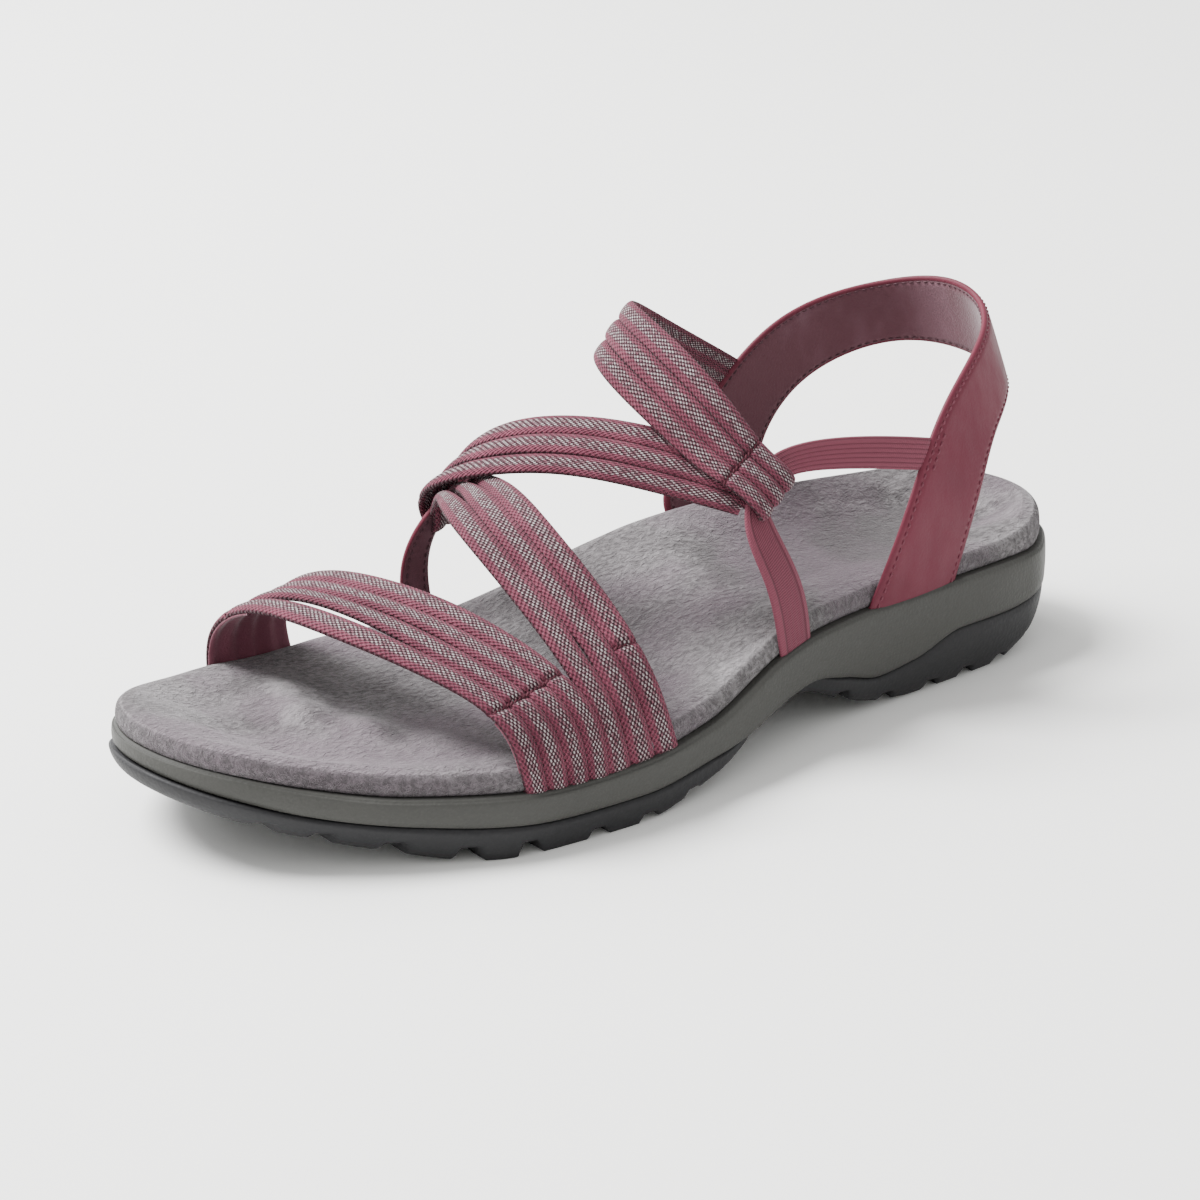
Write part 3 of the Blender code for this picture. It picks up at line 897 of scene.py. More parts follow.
        # painted highlights and shadows from the ovals, plus the painted highlight along the rim's crest
        painted_light_shade = g.plus(self.painted_ovals(g, ragged), g.times(painted_crest_highlight, 0.3))
        base = g.mix(g.plus(nap, painted_light_shade), self.dark, self.light)
        cast = g.times(g.ramp(g.noise(place, self.drift, 2.0), 0.42, 0.62), 0.6)
        # painted shade between the tufts on the steep rim wall
        shadow = g.times(rim, g.ramp(tuft, 0.56, 0.42, 0.0, 0.6))
        colour = g.mix(shadow, g.mix(cast, base, self.lilac), self.dark)
        return g.finish(colour, 0.95, height, self.depth, 1.0, Sheen_Weight=0.188, Sheen_Roughness=0.6,
                        Specular_IOR_Level=0.0938)


@dataclass(frozen=True)
class MouldedFinish:
    """Matt moulded foam or rubber with a fine pebbled skin and faint scuffs.

    grain and drift are scales in features a metre, depth is the bump's in metres.
    """

    name: str
    colour: Colour
    worn: Colour
    grain: float
    depth: float
    roughness: float = 0.6
    drift: float = 38.0

    def material(self) -> Material:
        """Fine cell grain, slow colour drift and a rougher cast where it is worn.

        Returns:
            The material.
        """
        g = Graph(self.name)
        place = g.place()
        drift = g.ramp(g.noise(place, self.drift, 4.0, 0.6), 0.38, 0.7)
        fine = g.noise(place, self.grain * 1.7, 1.0)
        height = g.plus(g.times(g.cells(place, self.grain), 0.7), g.times(fine, 0.4))
        colour = g.mix(g.times(drift, 0.55), self.colour, self.worn)
        speckle = g.mix(g.ramp(fine, 0.55, 0.75, 0.0, 0.35), colour, self.worn)
        rough = g.ramp(drift, 0.0, 1.0, self.roughness - 0.05, self.roughness + 0.08)
        return g.finish(speckle, rough, height, self.depth, 0.6, Specular_IOR_Level=0.219)


@dataclass(frozen=True)
class WovenFinish:
    """Woven elastic: rose twill borders and a flecked stripe of pale yarn down the middle of each band.

    pick is the length of one float in millimetres, ends the yarns across a band, and as shares of the band
    the flecked stripe's half width and the start of the painted shade along each band's edges, in the
    grooves between bands; lean the yarns that the twill moves across with each float. The darkest colour is
    painted shade in the pits between floats and in those grooves. wander, loose and tone are noise scales
    in features a metre.
    """

    rose: Colour = (0.175, 0.0444, 0.0705)
    pit_shade: Colour = (0.025, 0.00625, 0.01063)
    pale: Colour = (0.366, 0.333, 0.333)
    ground: Colour = (0.05313, 0.01625, 0.025)
    shade: Colour = (0.1156, 0.025, 0.04375)
    pick: float = 0.74
    ends: float = 13.0
    stripe: float = 0.225
    groove_shade_start: float = 0.445
    lean: float = 0.12
    wander: float = 380.0
    loose: float = 950.0
    tone: float = 90.0
    depth: float = 0.00045

    def material(self) -> Material:
        """Floats and pits by the sign of sin(x) * sin(y), with the floats pale inside the stripe, painted
        shade in the pits and painted shade along the band edges.

        Returns:
            The material.
        """
        g = Graph("woven_elastic")
        x, y = g.chart()
        place = g.place()
        wander = g.minus(g.noise(place, self.wander, 2.0), 0.5)
        run = g.plus(g.math("DIVIDE", x, self.pick), g.times(wander, 0.8))
        lean = g.plus(g.times(run, self.lean), g.times(wander, 0.5))
        rank = g.plus(g.times(y, self.ends), lean)
        check = g.times(g.math("SINE", g.times(run, np.pi)), g.math("SINE", g.times(rank, np.pi)))
        loose = g.noise(place, self.loose, 2.0, 0.6)
        off = g.off_middle(y)
        ragged = g.plus(off, g.times(g.minus(loose, 0.5), 0.3))
        stripe = g.ramp(ragged, self.stripe + 0.05, self.stripe - 0.05)
        # painted shade: the pits between floats darken towards the darkest colour
        pit_shade = g.times(g.ramp(check, 0.0, -0.6), g.ramp(loose, 0.62, 0.40, 0.5, 1.0))
        rose = g.mix(g.ramp(g.noise(place, self.tone, 3.0), 0.3, 0.7), self.rose, self.shade)
        fleck = g.mix(g.ramp(loose, 0.36, 0.62, 0.1, 1.0), rose, self.pale)
        middle = g.mix(g.ramp(check, -0.05, 0.5), self.ground, fleck)
        yarn = g.mix(stripe, rose, middle)
        face = g.mix(g.times(pit_shade, g.ramp(stripe, 0.0, 1.0, 0.75, 0.95)), yarn, self.pit_shade)
        # painted shade along each band's edges, in the grooves between bands
        colour = g.mix(g.ramp(off, self.groove_shade_start, self.groove_shade_start + 0.045, 0.0, 0.85), face, self.pit_shade)
        height = g.ramp(check, -0.9, 0.6)
        return g.finish(colour, 0.85, height, self.depth, 1.0, Sheen_Weight=0.075, Sheen_Roughness=0.5,
                        Specular_IOR_Level=0.125)


@dataclass(frozen=True)
class LeatherFinish:
    """Smooth rose leather with a fine pore grain, soft gloss and darker worn shading.

    tone, pores and crease are scales in features a metre, depth is the bump's in metres.
    """

    colour: Colour = (0.1087, 0.01937, 0.03313)
    deep: Colour = (0.085, 0.015, 0.02625)
    tone: float = 30.0
    pores: float = 1500.0
    crease: float = 240.0
    depth: float = 0.00014

    def material(self) -> Material:
        """Pore cells under a slow tone change and a light coat.

        Returns:
            The material.
        """
        g = Graph("rose_leather")
        place = g.place()
        tone = g.ramp(g.noise(place, self.tone, 3.0, 0.55), 0.35, 0.7)
        crease = g.noise(g.place((1.0, 1.0, 0.4)), self.crease, 4.0, 0.6)
        height = g.plus(g.times(g.cells(place, self.pores), 0.45), g.times(crease, 0.5))
        colour = g.mix(g.times(tone, 0.65), self.colour, self.deep)
        rough = g.ramp(crease, 0.3, 0.7, 0.5, 0.62)
        return g.finish(colour, rough, height, self.depth, 0.5, Coat_Weight=0.0187, Coat_Roughness=0.4,
                        Specular_IOR_Level=0.138)


@dataclass(frozen=True)
class LiningFinish:
    """Brushed cloth inside the leather or the straps.

    stroke and nap are scales in features a metre, depth is the bump's in metres.
    """

    name: str
    colour: Colour
    light: Colour
    stroke: float = 48.0
    nap: float = 1600.0
    depth: float = 0.00025

    def material(self) -> Material:
        """Short nap with soft lighter strokes.

        Returns:
            The material.
        """
        g = Graph(self.name)
        place = g.place()
        stroke = g.ramp(g.noise(g.place((1.0, 1.0, 0.6)), self.stroke, 3.0, 0.6), 0.42, 0.72)
        nap = g.noise(place, self.nap, 2.0, 0.6)
        colour = g.mix(g.times(stroke, 0.6), self.colour, self.light)
        return g.finish(colour, 0.85, nap, self.depth, 0.6, Sheen_Weight=0.25, Sheen_Roughness=0.4,
                        Specular_IOR_Level=0.125)


@dataclass(frozen=True)
class WebbingFinish:
    """Elastic webbing: a twill leg with plain borders, then lengthwise ribs, with fine cross threads.

    pick is the length of one thread and leg that of the twill part in millimetres, twill the slant of the
    threads in radians over the width, fuzz a noise scale in features a metre, depth the bump's in metres.
    """

    colour: Colour = (0.164, 0.0445, 0.066)
    twill_and_groove_shade: Colour = (0.085, 0.0222, 0.0344)
    ribs: int = 7
    pick: float = 0.6
    leg: float = 42.0
    twill: float = 40.0
    fuzz: float = 900.0
    depth: float = 0.0002

    def material(self) -> Material:
        """Grooves by the cosine of y, twill by the sine of x and y, borders by the way off the middle; the
        rib grooves are darkened with painted shade, and the twill threads and the lines at the borders'
        edges are drawn darker.

        Returns:
            The material.
        """
        g = Graph("ribbed_webbing")
        x, y = g.chart()
        place = g.place()
        wave = g.math("COSINE", g.times(y, 2.0 * np.pi * self.ribs))
        slope = g.plus(g.times(x, 2.0 * np.pi / self.pick), g.times(y, self.twill))
        thread = g.math("SINE", g.plus(slope, g.times(g.noise(place, self.fuzz, 1.0), 3.0)))
        leg = g.ramp(x, self.leg + 4.0, self.leg - 4.0)
        off = g.off_middle(y)
        border = g.times(g.ramp(off, 0.27, 0.31), g.ramp(off, 0.37, 0.33))
        middle = g.times(g.ramp(off, 0.31, 0.28), g.ramp(thread, -0.5, 0.7, 0.15, 0.75))
        # painted shade in the rib grooves
        rib_groove_shade = g.times(g.ramp(wave, -0.45, -0.95), g.ramp(thread, -0.6, 0.6, 0.45, 1.0))
        line = g.plus(g.times(leg, g.math("MAXIMUM", border, middle)), g.times(g.minus(1.0, leg), rib_groove_shade))
        soft = g.times(g.ramp(thread, -0.2, 1.0), 0.45)
        dark = g.math("MINIMUM", g.plus(line, soft), 1.0)
        # the darkest colour is the twill's darker threads and border lines, and painted shade in the rib
        # grooves
        colour = g.mix(dark, self.colour, self.twill_and_groove_shade)
        height = g.plus(g.times(g.minus(1.0, line), 0.6), g.times(thread, 0.2))
        return g.finish(colour, 0.85, height, self.depth, 0.8,
                        Sheen_Weight=0.0625, Specular_IOR_Level=0.125)


@dataclass(frozen=True)
class PlainFinish:
    """One even thread or floor colour with a faint grain of a share vary, scale in features a metre."""

    name: str
    colour: Colour
    roughness: float
    vary: float = 0.12
    scale: float = 900.0

    def material(self) -> Material:
        """Base colour with a slight noise in its lightness.

        Returns:
            The material.
        """
        g = Graph(self.name)
        darker = tuple(value * (1.0 - self.vary) for value in self.colour)
        grain = g.noise(g.place(), self.scale, 2.0)
        return g.finish(g.mix(grain, self.colour, darker), self.roughness, Specular_IOR_Level=0.188)


@dataclass
class Palette:
    """Every material of the sandal, made once."""

    suede: Material = field(default_factory=SuedeFinish().material)
    foam: Material = field(default_factory=MouldedFinish(
        "moulded_foam", (0.040, 0.040, 0.0366), (0.0545, 0.054, 0.0502), 1150.0, 0.0002).material)
    rubber: Material = field(default_factory=MouldedFinish(
        "moulded_rubber", (0.0154, 0.0154, 0.0169), (0.0259, 0.0253, 0.0264), 900.0, 0.00018).material)
    woven: Material = field(default_factory=WovenFinish().material)
    leather: Material = field(default_factory=LeatherFinish().material)
    lining: Material = field(default_factory=LiningFinish(
        "plum_lining", (0.1031, 0.0425, 0.05375), (0.175, 0.09375, 0.1156)).material)
    facing: Material = field(default_factory=LiningFinish(
        "strap_facing", (0.175, 0.058, 0.082), (0.235, 0.100, 0.130)).material)
    webbing: Material = field(default_factory=WebbingFinish().material)
    rose_thread: Material = field(default_factory=PlainFinish(
        "rose_thread", (0.1344, 0.03438, 0.05125), 0.65).material)
    tack_thread: Material = field(default_factory=PlainFinish(
        "tack_thread", (0.0875, 0.01937, 0.03125), 0.7, 0.5, 1400.0).material)
    dull_thread: Material = field(default_factory=PlainFinish(
        "dull_thread", (0.062, 0.024, 0.032), 0.6).material)


def settle(obj: Piece, node: str) -> Piece:
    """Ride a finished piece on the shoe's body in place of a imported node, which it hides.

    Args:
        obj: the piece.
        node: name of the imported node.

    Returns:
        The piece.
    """
    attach(obj, BODY)
    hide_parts(node)
    LOG.info("%s: %d faces in place of %s", obj.name, len(obj.data.polygons), node)
    return obj


@dataclass
class Sole:
    """Rubber outsole, foam midsole and suede bed.

    Wall columns: inset from the plan, share of the waist draw-in, share of the height, added height.
    Hollow columns: x, y, spread x, spread y, height added to the bed.
    Notch columns: y at the middle, width, depth.
    A roll draws the foot of the wall in. A push moves the wall out, at the toe or round the flank and heel.
    channel_at is a share of the span. Cuts lie cut_pitch apart and lean by cut_lean.
    A notch's flank runs from notch_foot to notch_roof of its width, longer by 1 / rear_flank at the rear.
    """

    form: SoleForm
    palette: Palette
    ring: int = 768
    tread_ring: int = 1440
    tread_columns: int = 58
    bed_columns: int = 70
    outsole_wall: Table = (
        (1.4, 1.0, 0.0, 0.0), (0.8, 1.0, 0.2, 0.0), (0.6, 1.0, 0.5, 0.0), (0.5, 1.0, 0.8, 0.0),
        (1.1, 1.0, 1.0, -0.25),
    )
    wall_steps: int = 4
    toe_roll: float = 3.4
    heel_roll: float = 2.0
    tread_toe_push: float = 1.3
    channel_at: float = 0.24
    channel_half: float = 1.5
    channel_depth: float = 1.7
    cut_pitch: float = 9.0
    cut_lean: float = 0.35
    cut_half: float = 0.95
    cut_depth: float = 0.7
    rear_flank: float = 0.55
    notch_roof: float = 0.3
    notch_foot: float = 0.72
    midsole_wall: Table = (
        (1.1, 1.0, 0.0, 0.0), (0.7, 0.0, 0.0, 0.15), (0.2, 0.0, 0.0, 0.9), (0.0, 0.0, 0.45, 0.0),
        (0.15, 0.0, 0.8, 0.0), (0.6, 0.0, 1.0, -0.6), (1.3, 0.0, 1.0, 0.0), (4.8, 0.0, 1.0, 0.0),
    )
    bed_wall: Table = (
        (3.0, 0.0, 0.0, 0.2), (2.6, 0.0, 0.0, 1.6), (2.9, 0.0, 0.0, 3.5), (4.3, 0.0, 0.0, 5.1),
        (7.0, 0.0, 0.0, 5.7),
    )
    bed_steps: int = 5
    bed_rise: float = 4.5
    bed_toe_push: float = 1.6
    bed_flank_push: float = 0.8
    cup: float = 0.48
    bed_hollows: Table = (
        (1, 78, 20, 42, -2.6), (-22, 18, 14, 34, 2.4), (2, -48, 30, 30, -1.8), (-22, -80, 9, 7, 2.0),
        (-8, -83, 7, 6, 2.2), (6, -76, 8, 6, 2.2), (22, -68, 8, 7, 2.4), (36, -61, 7, 7, 1.6),
        (2, -99, 26, 9, -1.6), (-26, -102, 9, 10, -1.6), (-7, -104, 6, 8, -1.6), (7, -100, 6, 7, -1.5),
        (20, -94, 6, 7, -1.5), (32, -82, 6, 7, -1.4), (-16, -112, 6, 5, 0.9), (0, -112, 5, 5, 0.9),
        (14, -107, 5, 5, 0.9),
    )
    notches: Table = (
        (-113.0, 2.6, 2.2), (-103.0, 2.8, 2.8), (-90.0, 3.2, 3.2), (-75.5, 3.2, 3.6), (-62.5, 3.2, 3.6),
        (-45.0, 3.0, 2.4), (-31.0, 3.0, 2.2), (-17.0, 2.8, 1.6), (39.6, 2.6, 2.0), (55.0, 2.8, 2.5),
        (70.5, 2.8, 2.7), (83.0, 2.8, 2.7), (95.4, 2.8, 2.6), (107.0, 2.6, 2.0),
    )

    def notched(self, points: Array) -> Array:
        """Points with those inside a notch lifted to its roof, the rear flank longer than the front one.

        Args:
            points: points of the tread or of its wall.

        Returns:
            The moved points.
        """
        points = points.copy()
        y = points[..., 1]
        for at, width, depth in self.notches:
            roof = float(self.form.tread(0.0, at)) + depth
            off = np.where(y > at, self.rear_flank * (y - at), at - y)
            inside = 1.0 - smoothstep(width * self.notch_roof, width * self.notch_foot, off)
            points[..., 2] += inside * np.maximum(roof - points[..., 2], 0.0)
        return points

    def channels(self, net: Array) -> Array:
        """Ground side with two lengthwise channels and slanted fine cuts between the lugs.

        Args:
            net: points across the foot of the outsole.

        Returns:
            The net with its cuts.
        """
        net = net.copy()
        x, y = net[..., 0], net[..., 1]
        span = np.abs(net[:, :1, 0] - net[:, -1:, 0])
        middle = (net[:, :1, 0] + net[:, -1:, 0]) / 2.0
        offset = np.abs(x - middle)
        channel = np.exp(-((offset - self.channel_at * span) / self.channel_half) ** 4)
        saw = np.abs(((y + self.cut_lean * offset) % self.cut_pitch) - self.cut_pitch / 2.0)
        outer = smoothstep(self.channel_at, self.channel_at + 0.03, offset / np.maximum(span, 1.0))
        cut = np.exp(-(saw / self.cut_half) ** 2) * outer
        fade = smoothstep(4.0, 20.0, span)
        net[..., 2] += fade * np.maximum(self.channel_depth * channel, self.cut_depth * cut)
        return net

    def build_outsole(self) -> Piece:
        """Rubber unit with toe spring, drawn-in waist, wrapped heel and notched lugs.

        Returns:
            The piece.
        """
        form = self.form
        plan, _ = form.outline(self.tread_ring)
        y = plan[:, 1]
        count = (len(self.outsole_wall) - 1) * self.wall_steps + 1
        fade = np.linspace(1.0, 0.0, count)[:, None] ** 3
        toe, tip = 1.0 - smoothstep(-92.0, -66.0, y), 1.0 - smoothstep(-122.0, -98.0, y)
        roll = self.toe_roll * toe + self.heel_roll * smoothstep(30.0, 60.0, y)
        ease = fade * roll - self.tread_toe_push * tip
        rings = form.wall(self.outsole_wall, form.tread, form.parting, self.tread_ring,
                          self.wall_steps, ease)
        bottom = self.channels(cross_lines(rings[0], self.tread_columns))
        top = cross_lines(rings[-1], 1)
        surface = shell(self.notched(rings), self.notched(bottom), top)
        return settle(surface.to_object("outsole_rubber", [self.palette.rubber]), "outsole")

    def build_midsole(self) -> Piece:
        """Foam body between the parting line and the rim shelf.

        Returns:
            The piece.
        """
        form = self.form
        rings = form.wall(self.midsole_wall, form.parting, form.shelf, self.ring, self.wall_steps)
        surface = shell(rings, cross_lines(rings[0], 1), cross_lines(rings[-1], 1))
        return settle(surface.to_object("midsole_foam", [self.palette.foam]), "midsole")

    def bed_height(self, x: Array, y: Array) -> Array:
        """Bed above the shelf: an even bed plus a bell for each hollow or swell.

        Args:
            x: places across.
            y: places along.

        Returns:
            One height for each place.
        """
        height = np.full(np.shape(x), self.bed_rise)
        for cx, cy, sx, sy, rise in self.bed_hollows:
            height = height + rise * np.exp(-((x - cx) / sx) ** 2 - ((y - cy) / sy) ** 2)
        return height

    def build_bed(self) -> Piece:
        """Cupped suede bed with a rolled edge, from the rim inwards over a soft step.

        Returns:
            The piece.
        """
        form = self.form
        plan, _ = form.outline(self.ring)
        medial = np.arange(self.ring) > self.ring // 2
        toe = 1.0 - smoothstep(-124.0, -96.0, plan[:, 1])
        heel = smoothstep(92.0, 122.0, plan[:, 1])
        flank = np.where(medial, smoothstep(-6.0, 50.0, plan[:, 1]), heel)
        ease = -self.bed_toe_push * toe - self.bed_flank_push * flank
        gain = 1.0 + self.cup * flank
        rings = form.wall(self.bed_wall, form.shelf, form.shelf, self.ring, self.bed_steps, ease, gain)
        net = cross_lines(rings[-1], self.bed_columns)
        x, y = net[..., 0], net[..., 1]
        lateral = rings[-1][1:self.ring // 2]
        width = np.linalg.norm(rings[-1][:self.ring // 2:-1] - lateral, axis=1)[:, None]
        share = np.linspace(0.0, 1.0, net.shape[1] + 2)[None, 1:-1]
        reach = form.length / 2.0 - self.bed_wall[-1][0]
        inside = np.minimum(np.minimum(share, 1.0 - share) * width, reach - np.abs(y))
        blend = smoothstep(-2.0, 15.0, inside)
        floor = form.shelf(x, y) + self.bed_height(x, y)
        net[..., 2] = net[..., 2] * (1.0 - blend) + floor * blend
        surface = shell(rings, cross_lines(rings[0], 1), net)
        return settle(surface.to_object("footbed_suede", [self.palette.suede]), "footbed")

    def build(self) -> None:
        """Build and dress the three layers."""
        self.build_outsole()
        self.build_midsole()
        self.build_bed()


@dataclass(frozen=True)
class Slit:
    """Lens between two bands: number of the gap, start and end along the strap, width, sideways shift."""

    gap: int
    start: float
    end: float
    widest: float
    shift: float = 0.0


@dataclass(frozen=True)
class Tack:
    """Seam across a strap: place along it at the front and rear edges, and the shares across it covers."""

    front: float
    rear: float
    first: float = 0.0
    last: float = 1.0


@dataclass(frozen=True)
class StrapPlan:
    """One woven strap of bands laid side by side.

    Row columns: front edge x, y, z, rear edge x, y, z.
    Lining columns: start and end along the strap of a cloth facing inside it.
    From tuck on along the strap it is pressed flat, to lie between two layers.
    tilt is the lean of each band, hairline the gap between two bands, below zero where they overlap, and
    core_z the height of the line that the strap bends round.
    """

    name: str
    bands: int
    rows: Table
    slits: tuple[Slit, ...] = ()
    tacks: tuple[Tack, ...] = ()
    linings: Table = ()
    tilt: float = 0.0
    tuck: float = 2.0
    hairline: float = -0.28
    core_z: float = 25.0
    stations: int = 340

    @property
    def t(self) -> Array:
        """Share along the strap of each station."""
        return np.linspace(0.0, 1.0, self.stations)

    def path(self) -> Path:
        """Edge lines of the whole strap, bending round the middle of the foot.

        Returns:
            The path.
        """
        edges = natural_spline(self.rows, self.t)
        front, rear = edges[:, :3], edges[:, 3:]
        core = (front + rear) / 2.0 * (0.0, 1.0, 0.0) + (0.0, 0.0, self.core_z)
        return Path.between(front, rear, core)

    def cut(self, gap: int, width: Array, sign: float) -> Array:
        """Share across of a band's edge: the even split, moved by the slits that lie in that gap.

        Args:
            gap: number of the gap, 0 and the band count being the strap's own edges.
            width: the strap's width at each station.
            sign: -1 for the band before the gap, 1 for the band after it.

        Returns:
            One share for each station.
        """
        share = np.full(self.stations, gap / self.bands)
        if 0 < gap < self.bands:
            share += sign * self.hairline / 2.0 / width
        for slit in self.slits:
            if slit.gap == gap:
                inside = np.clip((self.t - slit.start) / (slit.end - slit.start), 0.0, 1.0)
                lens = np.sin(np.pi * inside)
                share += lens * slit.shift + sign * lens * slit.widest / 2.0 / width
        return share


@dataclass
class Upper:
    """Woven straps, two of them looped round the webbing and the side strip, with their tacks and linings.

    sunk is the height of a strap's foot off the rim, slack the height of a band's slow waves, flatten the
    share of its height that a tack or a tuck takes away, dip how far a tack of half width grip pulls it in.
    """

    form: SoleForm
    palette: Palette
    band: Section = Section(half=0.8, crown=0.44, square=4.4, edge=0.44, count=36)
    facing: Section = Section(half=0.4, square=10.0, ribs=4, rib_rise=0.45, count=64)
    tack: Thread = Thread(pitch=1.15, length=1.5, radius=0.27)
    sunk: float = -0.7
    slack: float = 0.22
    tuck_flatten: float = 0.8
    tack_flatten: float = 0.45
    dip: float = 0.4
    grip: float = 0.75
    tack_lift: float = 0.35
    tack_slant: float = 0.5
    facing_lift: float = -0.8

    def toe_strap(self) -> StrapPlan:
        """Strap over the toes, from the lateral to the medial rim.

        Returns:
            The strap's plan.
        """
        rows = (
            self.form.base(Side.LATERAL, -62.2, -40.9, self.sunk),
            (43.2, -65.4, 28.5, 45.5, -43.3, 29.5), (25.0, -73.0, 37.0, 24.0, -51.5, 42.5),
            (-2.0, -82.5, 41.5, -6.0, -58.5, 46.0), (-29.0, -86.0, 38.5, -35.0, -62.5, 40.0),
            (-43.0, -86.5, 28.0, -47.0, -63.5, 28.0),
            self.form.base(Side.MEDIAL, -86.1, -61.6, self.sunk),
        )
        slits = (
            Slit(1, 0.34, 0.80, 1.7, 0.06), Slit(2, 0.30, 0.66, 0.4, 0.02), Slit(3, 0.26, 0.68, 0.7, -0.02),
        )
        tacks = (Tack(0.186, 0.217, 0.05, 1.0), Tack(0.775, 0.788))
        return StrapPlan("toe", 4, rows, slits, tacks, ((0.0, 0.17), (0.70, 1.0)), 0.12)

    def diagonal_strap(self) -> StrapPlan:
        """Strap from the lateral rim back over the instep and into the medial loop.

        Returns:
            The strap's plan.
        """
        rows = (
            self.form.base(Side.LATERAL, -41.7, -20.6, self.sunk),
            (45.0, -43.9, 28.5, 44.7, -24.6, 30.9), (24.2, -45.7, 44.8, 31.5, -27.0, 45.7),
            (-1.5, -44.7, 55.8, 9.9, -27.5, 57.7), (-19.5, -37.7, 56.0, -12.7, -22.8, 60.4),
            (-33.0, -29.8, 51.6, -32.6, -18.2, 55.0), (-40.0, -26.5, 44.5, -40.0, -16.5, 48.5),
        )
        slits = (Slit(1, 0.215, 0.295, 0.8), Slit(1, 0.66, 0.98, 1.7), Slit(2, 0.68, 0.98, 0.9))
        tacks = (Tack(0.226, 0.228, 0.0, 0.16), Tack(0.236, 0.244, 0.68, 0.92))
        return StrapPlan("diagonal", 3, rows, slits, tacks, ((0.0, 0.2),), 0.08)

    def crossing_strap(self) -> StrapPlan:
        """Strap looped round the side strip on the medial side and tucked under the instep strap.

        Returns:
            The strap's plan.
        """
        rows = (
            (-37.2, -27.5, 49.5, -37.2, -15.0, 54.5), (-38.4, -26.5, 44.5, -38.4, -13.8, 48.2),
            (-40.6, -26.2, 41.6, -40.6, -13.2, 45.0), (-42.9, -26.8, 44.6, -42.9, -14.0, 48.4),
            (-41.4, -28.2, 49.0, -41.6, -14.8, 54.6), (-32.0, -29.5, 56.0, -33.0, -12.5, 65.5),
            (-8.0, -19.0, 63.4, -8.8, -3.2, 73.8), (13.3, -3.8, 61.9, 14.1, 8.9, 72.6),
            (29.4, 11.0, 57.1, 26.5, 21.0, 67.1),
        )
        slits = (Slit(1, 0.33, 0.50, 1.5), Slit(2, 0.33, 0.49, 1.3))
        return StrapPlan("crossing", 3, rows, slits, (Tack(0.322, 0.322),), (), -0.16, 0.995)

    def instep_strap(self) -> StrapPlan:
        """Strap looped round the webbing on the lateral side and sewn inside the heel strap.

        Returns:
            The strap's plan.
        """
        rows = (
            (26.5, 10.5, 61.0, 24.8, 22.0, 69.5), (30.6, 13.6, 57.6, 28.6, 24.8, 65.2),
            (32.9, 14.7, 56.3, 31.0, 26.2, 63.8), (33.2, 13.0, 58.6, 31.2, 24.4, 66.2),
            (27.9, 9.7, 63.4, 26.2, 21.2, 71.3), (22.4, 7.2, 65.9, 21.0, 18.9, 77.1),
            (7.9, 1.2, 76.0, 4.9, 16.9, 87.8), (-12.3, 2.1, 84.4, -23.2, 22.0, 93.3),
            (-29.0, 24.0, 77.0, -35.5, 41.0, 83.2), (-39.9, 57.5, 58.5, -40.3, 67.2, 67.1),
            (-39.9, 63.5, 54.2, -40.1, 73.0, 63.0),
        )
        return StrapPlan("instep", 3, rows, (), (Tack(0.274, 0.264),), (), -0.16, 0.935)

    def build_strap(self, plan: StrapPlan) -> Piece:
        """Bands side by side, each crowned, pinched under its tacks and let loose a little in between.

        Args:
            plan: the strap's plan.

        Returns:
            The piece.
        """
        path = plan.path()
        skins = []
        for k in range(plan.bands):
            strip = path.slice(plan.cut(k, path.width, 1.0), plan.cut(k + 1, path.width, -1.0))
            wave = np.sin(2.0 * np.pi * (1.3 * plan.t + 0.37 * k))
            lift = np.sin(np.pi * plan.t) ** 2 * self.slack * wave
            squeeze = self.tuck_flatten * smoothstep(plan.tuck - 0.03, plan.tuck, plan.t)
            share = (k + 0.5) / plan.bands
            for tack in plan.tacks:
                if tack.first <= share <= tack.last:
                    at = np.interp(tack.front + (tack.rear - tack.front) * share, plan.t, strip.run)
                    pinch = np.exp(-((strip.run - at) / self.grip) ** 2)
                    squeeze = np.maximum(squeeze, self.tack_flatten * pinch)
                    lift = lift - self.dip * pinch
            skins.append(strip.skin(self.band, squeeze, lift, plan.tilt))
        strap = Surface.joined(skins).to_object(plan.name + "_strap", [self.palette.woven])
        return settle(strap, "upper")

    def build_linings(self, plan: StrapPlan) -> None:
        """Cloth facings inside the strap where it goes into the sole.

        Args:
            plan: the strap's plan.
        """
        path = plan.path()
        skins = []
        for start, end in plan.linings:
            keep = (plan.t >= start) & (plan.t <= end)
            part = Path(path.front[keep], path.rear[keep], path.out[keep])
            skins.append(part.skin(self.facing, None, np.full(keep.sum(), self.facing_lift)))
        if skins:
            lining = Surface.joined(skins).to_object(plan.name + "_lining", [self.palette.facing])
            settle(lining, "upper")

    def build_tacks(self, plans: Sequence[StrapPlan]) -> Piece:
        """Rows of slanted stitches across the bands.

        Args:
            plans: plans of all straps.

        Returns:
            The piece.
        """
        rows = []
        for plan in plans:
            path = plan.path()
            for tack in plan.tacks:
                share = np.linspace(tack.first, tack.last, 60)
                at = tack.front + (tack.rear - tack.front) * share
                front, rear, out = (read_along(at, plan.t, line)
                                    for line in (path.front, path.rear, path.out))
                line = front + (rear - front) * share[:, None] + out * self.tack_lift
                rows.append(self.tack.row(line, out, self.tack_slant))
        tacks = Surface.joined(rows).to_object("strap_tacks", [self.palette.tack_thread])
        return settle(tacks, "upper")

